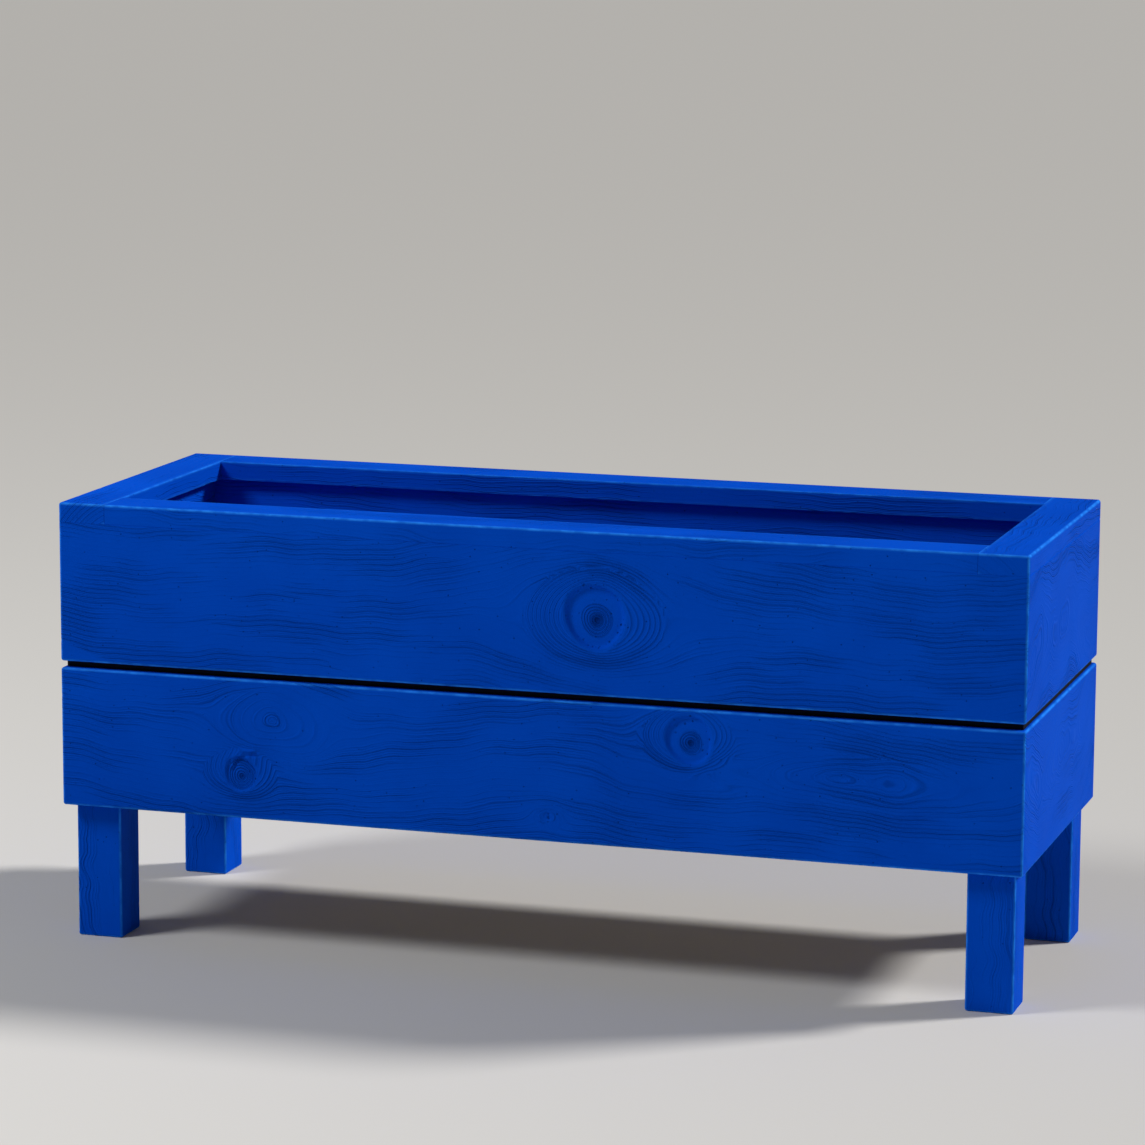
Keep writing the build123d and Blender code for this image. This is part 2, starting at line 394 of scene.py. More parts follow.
@dataclass(frozen=True)
class Knot:
    """A branch's mark on a board's outer face: a sunken disc, or only a swirl in the grain."""

    along: float
    height: float
    radius: float
    depth: float = 1.2 * MM
    collar: float = 1.6  # how far its own closed rings reach, as a multiple of the radius
    stretch: float = 1.7  # how much longer that collar grows along the grain, under 2
    elongation: float = 1.0  # the swirl's length to its height, where it has no disc
    uneven: float = 0.03  # how far the collar strays from a plain oval
    crowding: float = 1.8  # how much closer the rings lie in the collar
    has_disc: bool = True
    eye: float = 0.48  # the ringed middle's radius, as a share of the knot's
    ring_spread: float = 1.65  # how much closer its rings lie than the board's own
    eye_shift: tuple[float, float] = (0.04, -0.12)  # of the radius, from the knot's middle
    lip: Triple = (0.13, 3.2 * MM, 2.4 * MM)  # rise to the depth, way out of the rim, half width
    pit: Triple = (0.4, 0.05, 0.8 * MM)  # its depth to the knot's, and its half width in two parts
    dark_reach: float = 0.17  # how far the eye's darkening reaches, as a share of the radius

    def offset(self, along: Array, height: Array) -> tuple[Array, Array]:
        """Distances from the knot's middle, along the grain and across it."""
        return along - self.along, height - self.height

    def distance(self, along: Array, height: Array) -> Array:
        """The distance from the knot's middle on the face, a little out of round.

        Args:
            along: Places along the grain.
            height: Places across it.

        Returns:
            The distances.
        """
        across, up = self.offset(along, height)
        turn = np.arctan2(up, across)
        uneven = 1 + ripple(turn, (0.035, 2, 0.7), (0.025, 3, 40 * self.along))
        return np.hypot(across, up) * uneven

    def eye_distance(self, along: Array, height: Array) -> Array:
        """The distance from the middle of the knot's own rings."""
        return self.distance(along - self.eye_shift[0] * self.radius,
                             height - self.eye_shift[1] * self.radius)

    def collar_share(self, along: Array, height: Array) -> Array:
        """How far out each place is in a collar that lengthens along the grain.

        Args:
            along: Places along the grain.
            height: Places across it.

        Returns:
            Shares that reach 1 at the collar's end.
        """
        across, up = self.offset(along, height)
        across = across / self.elongation
        reach = np.maximum(np.hypot(across, up), self.radius)
        longer = 1 + (self.stretch - 1) * (1 - self.radius / reach)
        turn = np.arctan2(up, across)
        stray = 1 + self.uneven * ripple(turn, (1, 2, 5.1), (0.6, 3, 0.4))
        return stray * np.hypot(across / longer, up) / (self.radius * self.collar)

    def part_grain(self, along: Array, height: Array, flow: Array) -> tuple[Array, Array]:
        """Parts the grain round the collar, as water parts round a stone.

        Args:
            along: Places along the grain.
            height: Places across it.
            flow: Where the grain through each place would lie without this knot.

        Returns:
            Where it would lie after all, and how far the closed rings stand out in the collar.
        """
        share = self.collar_share(along, height)
        parted = self.height + (flow - self.height) * (1 - 1 / np.maximum(share, 1) ** 2)
        return parted, self.radius * self.collar * self.crowding * np.maximum(1 - share, 0)

    def relief(self, along: Array, height: Array) -> Array:
        """The knot's shape on the face: a dished disc with a low lip and a pit in its eye.

        Args:
            along: Places along the grain.
            height: Places across it.

        Returns:
            The height of the surface, below zero where it is sunken.
        """
        if not self.has_disc:
            return np.zeros_like(along)
        reach = self.distance(along, height)
        from_eye = self.eye_distance(along, height)
        wall = 1 - smooth_step(0.86 * self.radius, self.radius + 0.4 * MM, reach)
        floor = 0.84 + 0.16 * np.clip(reach / self.radius, 0, 1) ** 2
        rise, out, half = self.lip
        lip = rise * bell((reach - self.radius - out) / half)
        sink, share, more = self.pit
        pit = sink * bell(from_eye / (share * self.radius + more))
        return self.depth * (lip - wall * floor - pit)

    def marks(self, along: Array, height: Array) -> Array:
        """How thickly the knot is pitted, and how dark its eye is.

        Args:
            along: Places along the grain.
            height: Places across it.

        Returns:
            Two shares from 0 to 1 for each place, and a zero.
        """
        if not self.has_disc:
            return np.zeros((len(along), 3))
        reach = self.distance(along, height) / self.radius
        ring = smooth_step(0.40, 0.55, reach) * (1 - smooth_step(0.95, 1.15, reach))
        across, up = self.offset(along, height)
        pitted = ring * (0.62 + 0.38 * (across + 0.4 * up) / self.radius)
        from_eye = self.eye_distance(along, height) / (self.dark_reach * self.radius)
        dark = 0.75 * bell(from_eye) + 0.16 * (from_eye < 3) * bell(from_eye / 2)
        return np.stack([np.clip(pitted, 0, 1), dark, np.zeros_like(dark)], axis=1)


@dataclass(frozen=True)
class Scar:
    """A broken branch's healed stub: a short rounded ridge with a groove under it."""

    start: tuple[float, float]
    end: tuple[float, float]
    half_width: float = 3.6 * MM
    rise: float = 2.2 * MM

    def relief(self, along: Array, height: Array) -> Array:
        """The stub's shape on the face.

        Args:
            along: Places along the grain.
            height: Places across it.

        Returns:
            How far each place stands out.
        """
        run, climb = self.end[0] - self.start[0], self.end[1] - self.start[1]
        length = math.hypot(run, climb)
        across, up = along - self.start[0], height - self.start[1]
        share = (across * run + up * climb) / length**2
        arch = 0.22 * length * np.clip(4 * share * (1 - share), 0, 1)
        off = (up * run - across * climb) / length - arch
        past = length * (np.maximum(share - 1, 0) + np.maximum(-share, 0))
        ridge = np.exp(-(((off**2 + past**2) / self.half_width**2) ** 1.5))
        under = (off + 1.45 * self.half_width) / (0.5 * self.half_width)
        groove = np.exp(-(under**2) - (past / self.half_width) ** 2)
        return self.rise * (ridge * (0.55 + 0.45 * np.clip(share, 0, 1)) - 0.75 * groove)


@dataclass(frozen=True)
class Figure:
    """The growth rings of one board: where the tree's heart ran, and its knots."""

    seed: int
    heart_depth: float = 62 * MM  # behind the outer face
    heart_height: float = 0.0  # from the board's middle
    drift: float = 8 * MM  # how far the heart wanders along the board
    drift_length: float = 0.9
    sway: float = 0.9 * MM  # how far each ring strays by itself
    knot_reach: float = 30 * MM  # how far behind the face a knot still parts the grain
    skin: float = 4 * MM  # how far behind the face a knot's own rings are drawn
    collar_lines: tuple[float, float] = (0.5, 0.15)  # bolder lines round a disc, and in a swirl
    disc_lines: tuple[float, float] = (0.1, 1.9)  # a disc's lines, and the more in its middle
    rim: float = 1.8 * MM  # half the width of the plain band round a disc
    shift: tuple[float, float] = (3.7, 0.61)  # from one board's pattern to the next one's
    knots: tuple[Knot, ...] = ()
    scars: tuple[Scar, ...] = ()

    def phases(self) -> Array:
        """This board's own phases for whatever repeats along it."""
        return np.random.default_rng(self.seed).uniform(0, 2 * np.pi, 8)

    def rings(self, along: Array, height: Array, depth: Array) -> Array:
        """The growth-ring radius through each point of the board.

        Args:
            along: Places along the grain.
            height: Places across the board, from its middle.
            depth: Depths behind the outer face.

        Returns:
            The radius, with the bulges round the knots.
        """
        phase = self.phases()
        fade = np.exp(-depth / self.knot_reach)
        flow, collars = height, 0
        for knot in self.knots:
            parted, raised = knot.part_grain(along, height, flow)
            flow = flow + (parted - flow) * fade
            collars = collars + raised * fade
        turn = 2 * np.pi * along / self.drift_length
        height_of_heart = self.heart_height + self.drift * ripple(
            turn, (1, 1, phase[0]), (0.45, 2.7, phase[1]))
        depth_of_heart = self.heart_depth + self.drift * ripple(
            turn, (0.5, 0.8, phase[2]), (0.2, 3.4, phase[3]))
        radius = np.hypot(flow - height_of_heart, depth - depth_of_heart)
        sway = ripple(turn, (1, 8.3, phase[4] + flow * 31), (0.8, 13.7, phase[5]))
        return radius + self.sway * sway + collars

    def grain(self, along: Array, height: Array, depth: Array) -> Array:
        """What the finish reads for each point: place along the grain, ring radius, strength.

        Args:
            along: Places along the grain.
            height: Places across the board, from its middle.
            depth: Depths behind the outer face.

        Returns:
            One vector for each point. The first two carry the board's own shift, so that no
            two boards share a pattern.
        """
        radius = self.rings(along, height, depth)
        strength = np.ones_like(radius)
        for knot in self.knots:
            shallow = depth < self.skin
            collar = 1 - smooth_step(0.8, 1.25, knot.collar_share(along, height))
            bolder = self.collar_lines[0 if knot.has_disc else 1]
            strength = strength + bolder * collar * shallow
            if not knot.has_disc:
                continue
            reach = knot.distance(along, height)
            from_eye = knot.eye_distance(along, height)
            inside = (reach < knot.radius) & shallow
            radius = np.where(inside, from_eye * knot.ring_spread, radius)
            ringed = 1 - smooth_step(knot.eye * knot.radius, (knot.eye + 0.1) * knot.radius,
                                     from_eye)
            faint, more = self.disc_lines
            strength = np.where(inside, faint + more * ringed, strength)
            rim = bell((reach - knot.radius) / self.rim)
            strength = strength * (1 - rim * shallow)
        on, out = self.shift
        return np.stack([along + on * self.seed, radius + out * self.seed, strength], axis=1)

    def marks(self, along: Array, height: Array, depth: Array) -> Array:
        """The knots' pits and dark eyes.

        Args:
            along: Places along the grain.
            height: Places across the board, from its middle.
            depth: Depths behind the outer face.

        Returns:
            Two shares from 0 to 1 for each point, and a zero.
        """
        shares = np.zeros((len(along), 3))
        for knot in self.knots:
            shares = np.maximum(shares, knot.marks(along, height))
        return shares * (depth < self.skin / 2)[:, None]

    def relief(self, along: Array, height: Array) -> Array:
        """The outer face's own shape: slight waves and the knots.

        Args:
            along: Places along the grain.
            height: Places across the board, from its middle.

        Returns:
            How far each place stands out.
        """
        phase = self.phases()
        waves = ripple(2 * np.pi * along, (0.11 * MM, 1 / 0.31, phase[5] + height * 9),
                       (0.08 * MM, 1 / 0.117, phase[6] - height * 38))
        waves += ripple(2 * np.pi * height, (0.09 * MM, 1 / 0.061, phase[7] + along * 4))
        return waves + sum(mark.relief(along, height) for mark in (*self.knots, *self.scars))

    def fine(self, across: bool) -> list[Stretch]:
        """The stretches that need closer cuts for the knots to show.

        Args:
            across: Whether they are across the board, not along it.

        Returns:
            The knots' discs, and more coarsely their collars.
        """
        stretches = []
        for knot in self.knots:
            middle, collar = (knot.height, 1.5) if across else (knot.along, 1.9)
            if knot.has_disc:
                stretches.append((middle, 1.1 * knot.radius, min(1.5 * MM, knot.radius / 5)))
            stretches.append((middle, collar * knot.radius, min(4.0 * MM, knot.radius / 4)))
        return stretches


def make_stick(name: str, arris: Arris, cuts: Cuts, timber: CellTest,
               axes: tuple[int, int, int], figure: Figure) -> Piece:
    """Makes a straight stick of timber from the solid cells of its lattice.

    Args:
        name: The piece's name.
        arris: Its eased edges, whose limits are the stick's own.
        cuts: The cuts along each axis.
        timber: Says which cells are solid from the cells' middles.
        axes: The axis that it lies along, the one across its rings and the one through them.
        figure: Its growth rings.

    Returns:
        The stick.
    """
    local, faces = cell_skin(cuts, timber)
    points = arris.round_off(local)
    middle = (np.array(arris.low) + arris.high) / 2
    along, across, depth = (points[:, axis] for axis in axes)
    piece = make_object(name, points, facing_out(points, faces))
    store(piece, grain=figure.grain(along, across - middle[axes[1]], depth - middle[axes[2]]),
          wear=arris.wear(local))
    return piece


@dataclass
class Box:
    """The box of planks: two courses with mitred corners, and the sizes shared by its boards."""

    arris: float = 3.5 * MM
    seam: float = 0.4 * MM  # the fine line where a plank meets the cap
    end_seam: float = 0.9 * MM  # and on the ends, where it shows more
    step_along: float = 6 * MM
    step_across: float = 5 * MM
    step_through: float = 11 * MM
    calm: float = 9 * MM  # the waves and knots fade out this close to an edge

    def __post_init__(self) -> None:
        """Reads the box's outline from the frame."""
        low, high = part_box("front_plank_upper")
        self.half_length = high.x
        self.half_width = -low.y
        self.thickness = high.y - low.y

    def limits(self, node: str) -> tuple[float, float]:
        """The lowest and highest point of a node."""
        low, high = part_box(node)
        return low.z, high.z

    def to_frame(self, side: Side, local: Array, mitred: bool) -> Array:
        """Turns a board's own coordinates into the frame's.

        Args:
            side: The board's side of the box.
            local: Rows of place along the side, depth behind the outer face, and height.
            mitred: Whether the ends are cut at 45 degrees.

        Returns:
            The points in the frame.
        """
        x, y = side.value
        along, depth, height = local.T
        long_half = self.half_length if side.runs_along_x else self.half_width
        short_half = self.half_width if side.runs_along_x else self.half_length
        if mitred:
            along = along * (long_half - depth) / long_half
        out = short_half - depth
        return np.stack([x * out, along, height] if x else [along, y * out, height], axis=1)

    def from_frame(self, side: Side, points: Array) -> tuple[Array, Array]:
        """Turns points in the frame into a board's own coordinates.

        Args:
            side: The board's side of the box.
            points: The points in the frame.

        Returns:
            Their places along the side, and their depths behind its outer face.
        """
        x, y = side.value
        along = points[:, 1] if x else points[:, 0]
        out = x * points[:, 0] + y * points[:, 1]
        return along, (self.half_length if x else self.half_width) - out

    def course_arris(self, low: float, high: float, course: Course) -> Arris:
        """The eased edges of one course as a whole ring."""
        limits = self.ring_limits(low, high)
        return Arris(*limits, self.arris, (True,) * 5 + (course is Course.LOWER,),
                     seed=3 + (course is Course.UPPER))

    def ring_limits(self, low: float, high: float) -> tuple[Triple, Triple]:
        """The low and high corners of a ring of boards between two heights."""
        x, y = self.half_length, self.half_width
        return (-x, -y, low), (x, y, high)

    def make_plank(self, side: Side, course: Course, figure: Figure) -> Piece:
        """Makes one painted plank.

        Args:
            side: The side that it is on.
            course: Its course.
            figure: Its growth rings and knots.

        Returns:
            The plank.
        """
        node = f"{side.label}_plank_{course.value}"
        low, high = self.limits(node)
        arris = self.course_arris(low, high, course)
        axis = 0 if side.runs_along_x else 1
        half = arris.high[axis]
        middle = (low + high) / 2
        fine_up = [(middle + centre, *rest) for centre, *rest in figure.fine(across=True)]
        top_kept = [] if course is Course.LOWER else [high - self.seam_of(side)]
        cuts = (
            spread_stations(-half, half, self.step_along, arris.cuts(axis),
                            figure.fine(across=False) + arris.ding_stretches(axis, side)),
            spread_stations(0.0, self.thickness, self.step_through, self.depth_cuts(), []),
            spread_stations(low, high, self.step_across, arris.cuts(2) + top_kept,
                            fine_up + arris.ding_stretches(2, side)),
        )
        local, faces = cell_skin(cuts)
        outer = local[:, 1] == 0
        if course is Course.UPPER:
            local[outer & (local[:, 2] == cuts[2][-1]), 1] = self.seam_of(side)
        square = self.to_frame(side, local, mitred=True)
        points = arris.round_off(square)
        along, depth = self.from_frame(side, points)
        grain = figure.grain(along, points[:, 2] - middle, depth)
        marks = figure.marks(along, points[:, 2] - middle, depth)
        fade = outer.astype(float)
        for gap in (half - np.abs(local[:, 0]), high - local[:, 2], local[:, 2] - low):
            fade *= smooth_step(0, self.calm, gap - self.arris)
        rise = figure.relief(local[:, 0], local[:, 2] - middle) * fade
        points += np.outer(rise, (*side.value, 0))
        piece = make_object(f"{side.label}_board_{course.value}", points,
                            facing_out(points, faces))
        store(piece, grain=grain, marks=marks, wear=arris.wear(square))
        return piece

    def seam_of(self, side: Side) -> float:
        """The depth of the line under the cap on one side."""
        return self.seam if side.runs_along_x else self.end_seam

    def depth_cuts(self) -> list[float]:
        """The cuts that an eased edge needs behind the outer face."""
        return [share * self.arris for share in DEPTH_SHARES]


@dataclass
class CapFrame:
    """The flat cap: end strips across the whole width and long strips between them."""

    box: Box
    inner_arris: float = 2.0 * MM
    nail_inset: float = 32 * MM
    nail_places_long: tuple[float, ...] = (-0.5, -0.3, -0.1, 0.1, 0.3, 0.5)
    nail_places_end: tuple[float, ...] = (-0.18, -0.06, 0.06, 0.18)
    dimple: float = 2.1 * MM
    dimple_depth: float = 1.05 * MM
    step: float = 6 * MM
    step_up: float = 5 * MM
    calm: float = 8 * MM  # the waves fade out this close to an edge

    def __post_init__(self) -> None:
        """Reads the cap's sizes from the frame."""
        low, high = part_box("front_cap_strip")
        self.width = high.y - low.y
        self.bottom, self.top = low.z, high.z
        self.opening = (self.box.half_length - self.width, self.box.half_width - self.width)

    def nail_places(self, side: Side) -> tuple[float, ...]:
        """Where the nails go along one strip."""
        return self.nail_places_long if side.runs_along_x else self.nail_places_end

    def ease_inner(self, local: Array, side: Side) -> Array:
        """Eases the edges of the opening, fading out where a strip runs past its corner.

        Args:
            local: Rows of place along the strip, depth behind the outer face, and height.
            side: The strip's side.

        Returns:
            The rows with the inner edges eased.
        """
        along, depth, height = local.T
        clear = self.opening[0 if side.runs_along_x else 1]
        radius = self.inner_arris * (1 - smooth_step(0, self.inner_arris, np.abs(along) - clear))
        radius = np.maximum(radius, TINY)
        inward = np.maximum(depth - (self.width - radius), 0)
        upward = np.maximum(height - (self.top - radius), 0)
        upward += np.minimum(height - (self.bottom + radius), 0)
        reach = np.hypot(inward, upward)
        excess = np.where((reach > radius) & (inward > 0), 1 - radius / np.maximum(reach, TINY), 0)
        return np.stack([along, depth - inward * excess, height - upward * excess], axis=1)

    def make_strip(self, side: Side, figure: Figure) -> Piece:
        """Makes one painted cap strip.

        Args:
            side: Its side.
            figure: Its growth rings.

        Returns:
            The strip.
        """
        box = self.box
        arris = Arris(*box.ring_limits(self.bottom, self.top), box.arris,
                      (True,) * 4 + (False, True), ding_spacing=42 * MM, seed=8)
        axis = 0 if side.runs_along_x else 1
        half = self.opening[0] if side.runs_along_x else box.half_width
        places = self.nail_places(side)
        inner = [self.inner_arris * share for share in (0.0, 0.4, 1.0)]
        kept = arris.cuts(axis) + [sign * (self.opening[axis] + part) for part in inner
                                   for sign in ENDS]
        if side.runs_along_x:
            kept += [sign * (half - 2 * box.seam) for sign in ENDS]
        near, close = 1.6 * self.dimple, self.dimple / 2.4
        cuts = (
            spread_stations(-half, half, self.step, kept,
                            [(place, near, close) for place in places]
                            + arris.ding_stretches(axis, side)),
            spread_stations(0.0, self.width, self.step,
                            box.depth_cuts() + [self.width - part for part in inner],
                            [(self.nail_inset, near, close)]),
            spread_stations(self.bottom, self.top, self.step_up,
                            [self.bottom + box.seam_of(side), *arris.cuts(2)]
                            + [self.bottom + part for part in inner]
                            + [self.top - part for part in inner],
                            arris.ding_stretches(2, side)),
        )
        local, faces = cell_skin(cuts)
        self.open_seams(local, cuts, side)
        eased = self.ease_inner(local, side)
        square = box.to_frame(side, eased, mitred=False)
        points = arris.round_off(square)
        points[:, 2] += self.surface(local, side, figure)
        piece = make_object(f"{side.label}_cap_board", points, facing_out(points, faces))
        along, depth = box.from_frame(side, points)
        across = depth - self.width / 2
        store(piece, grain=figure.grain(along, across, self.top - points[:, 2]),
              wear=np.maximum(arris.wear(square), 0.7 * self.inner_wear(local)))
        return piece

    def open_seams(self, local: Array, cuts: Cuts, side: Side) -> None:
        """Opens the fine lines under the cap and at the butt joints of its long strips.

        Args:
            local: The strip's own points, changed in place.
            cuts: The cuts they lie on.
            side: The strip's side.
        """
        outer = local[:, 1] == 0
        top = local[:, 2] == cuts[2][-1]
        if side.runs_along_x:
            at_end = np.abs(local[:, 0]) == cuts[0][-1]
            shown = at_end & (outer | top)
            local[shown, 0] -= np.sign(local[shown, 0]) * self.box.seam
        local[outer & (local[:, 2] == cuts[2][0]), 1] = self.box.seam_of(side)

    def surface(self, local: Array, side: Side, figure: Figure) -> Array:
        """The cap's top: slight waves, and a dimple over each punched nail.

        Args:
            local: The strip's own points.
            side: Its side.
            figure: Its growth rings.

        Returns:
            How far each point is raised.
        """
        along, depth, height = local.T
        at_top = height >= self.top - SAME_PLACE
        margin = np.minimum(depth, self.width - depth) - self.box.arris
        calm = smooth_step(0, self.calm, margin)
        end = (self.opening[0] if side.runs_along_x else self.box.half_width) - self.box.arris
        calm *= smooth_step(0, self.calm, end - np.abs(along))
        rise = figure.relief(along, depth - self.width / 2) * calm
        for place in self.nail_places(side):
            reach = np.hypot(along - place, depth - self.nail_inset)
            rise -= self.dimple_depth * (1 - smooth_step(0.55 * self.dimple, self.dimple, reach))
        return rise * at_top

    def inner_wear(self, local: Array) -> Array:
        """Rubbing exposure and painted highlight of the edges of the opening.

        Args:
            local: The strip's own points.

        Returns:
            Shares from 0 to 1.
        """
        inward = np.clip((local[:, 1] - self.width) / (1.5 * self.inner_arris) + 1, 0, 1)
        gap = np.minimum(self.top - local[:, 2], local[:, 2] - self.bottom)
        return inward * np.clip(1 - gap / (1.5 * self.inner_arris), 0, 1)


@dataclass
class Post:
    """A leg: a square post whose top is notched to stand inside the box."""

    x: int
    y: int
    box: Box
    arris: float = 3.0 * MM
    step: float = 4.5 * MM
    step_up: float = 6 * MM

    @property
    def node(self) -> str:
        """The leg's node in the frame."""
        return f"{'front' if self.y < 0 else 'back'}_{'left' if self.x < 0 else 'right'}_leg"

    def make(self, figure: Figure) -> Piece:
        """Makes the painted post.

        Args:
            figure: Its growth rings.

        Returns:
            The post.
        """
        low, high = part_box(self.node)
        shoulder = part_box("front_plank_lower")[0].z
        inner_x = self.box.half_length - self.box.thickness
        inner_y = self.box.half_width - self.box.thickness
        arris = Arris(tuple(low), tuple(high), self.arris, (True,) * 5 + (False,),
                      ding_spacing=50 * MM, seed=20 + 2 * self.x + self.y)
        cuts = tuple(
            spread_stations(low[axis], high[axis], step, [*arris.cuts(axis), kept], fine)
            for axis, step, kept, fine in ((0, self.step, self.x * inner_x, []),
                                           (1, self.step, self.y * inner_y, []),
                                           (2, self.step_up, shoulder, arris.ding_stretches(2))))

        def timber(x: Array, y: Array, z: Array) -> Array:
            """Whether each cell is left by the two notches."""
            notched = (self.x * x > inner_x) | (self.y * y > inner_y)
            return (z < shoulder) | ~notched

        return make_stick(f"{self.node[:-4]}_post", arris, cuts, timber, (2, 0, 1), figure)


@dataclass
class Base:
    """The slatted base: two bearers and ten slats, the end ones notched round the legs."""

    slat_arris: float = 2.0 * MM
    bearer_arris: float = 1.5 * MM
    slat_count: int = 10
    clearance: float = 1.0 * MM
    ding_depth: float = 0.3 * MM
    step: float = 7 * MM

    def make_board(self, name: str, node: str, arris_radius: float, along_axis: int,
                   figure: Figure, notch: tuple[float, float] | None = None) -> Piece:
        """Makes one bare board.

        Args:
            name: The piece's name.
            node: The CAD node that gives its place.
            arris_radius: The radius of its long edges.
            along_axis: The axis that it lies along.
            figure: Its growth rings.
            notch: Where its corners are cut away, as distances from the middle planes.

        Returns:
            The board.
        """
        low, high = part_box(node)
        eased = tuple(index // 2 != along_axis for index in range(6))
        arris = Arris(tuple(low), tuple(high), arris_radius, eased, ding_depth=self.ding_depth,
                      seed=40 + figure.seed)
        kept = [[sign * reach for sign in ENDS] for reach in notch or ()] + [[], [], []]
        cuts = tuple(spread_stations(low[axis], high[axis], self.step,
                                     arris.cuts(axis) + kept[axis], []) for axis in range(3))

        def timber(x: Array, y: Array, z: Array) -> Array:
            """Whether each cell is left by the notches."""
            return ~((np.abs(x) > notch[0]) & (np.abs(y) > notch[1])) if notch else z > -1

        return make_stick(name, arris, cuts, timber, (along_axis, 1 - along_axis, 2), figure)

    def end_notch(self) -> tuple[float, float]:
        """How far out the end slats keep their full width and length."""
        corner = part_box("back_right_leg")[0]
        return corner.x - self.clearance, corner.y - self.clearance


# ---------------------------------------------------------------------------------------------
# Node trees


class Nodes:
    """A short way to add and join nodes in a tree."""

    def __init__(self, tree: bpy.types.NodeTree) -> None:
        """Keeps the tree that the nodes go in."""
        self.tree = tree

    def add(self, kind: str, inputs: dict | None = None, **settings: object) -> bpy.types.Node:
        """Adds a node.

        Args:
            kind: Its type.
            inputs: What goes in each input, by name or number: a socket to join, or a value.
            settings: Its properties.

        Returns:
            The node.
        """
        node = self.tree.nodes.new(kind)
        for name, value in settings.items():
            setattr(node, name, value)
        for key, value in (inputs or {}).items():
            if isinstance(value, Socket):
                self.tree.links.new(value, node.inputs[key])
            else:
                node.inputs[key].default_value = value
        return node

    def out(self, kind: str, inputs: dict | None = None, **settings: object) -> Socket:
        """Adds a node, as add does, and gives its first output."""
        return self.add(kind, inputs, **settings).outputs[0]

    def math(self, operation: str, *values: object, clamp: bool = False) -> Socket:
        """One Math node's result."""
        return self.out("ShaderNodeMath", dict(enumerate(values)), operation=operation,
                        use_clamp=clamp)

    def times(self, *values: object) -> Socket:
        """The product of two numbers."""
        return self.math("MULTIPLY", *values)

    def times_plus(self, value: object, factor: object, more: object) -> Socket:
        """A number times a factor, and more."""
        return self.math("MULTIPLY_ADD", value, factor, more)

    def minus(self, *values: object, clamp: bool = False) -> Socket:
        """The first number less the second."""
        return self.math("SUBTRACT", *values, clamp=clamp)

    def vector(self, operation: str, *values: object) -> Socket:
        """One Vector Math node's result."""
        node = self.add("ShaderNodeVectorMath", dict(enumerate(values)), operation=operation)
        return node.outputs["Value" if operation in ("LENGTH", "DOT_PRODUCT") else "Vector"]

    def combine(self, *values: object) -> Socket:
        """A vector made of up to three numbers."""
        return self.out("ShaderNodeCombineXYZ", dict(enumerate(values)))

    def separate(self, vector: Socket) -> list[Socket]:
        """The three numbers of a vector."""
        return list(self.add("ShaderNodeSeparateXYZ", {0: vector}).outputs)

    def rescale(self, value: object, low: float, high: float, to_low: float = 0.0,
                to_high: float = 1.0) -> Socket:
        """A number moved from one range to another with soft ends."""
        return self.out("ShaderNodeMapRange", {0: value, 1: low, 2: high, 3: to_low, 4: to_high},
                        interpolation_type="SMOOTHSTEP")


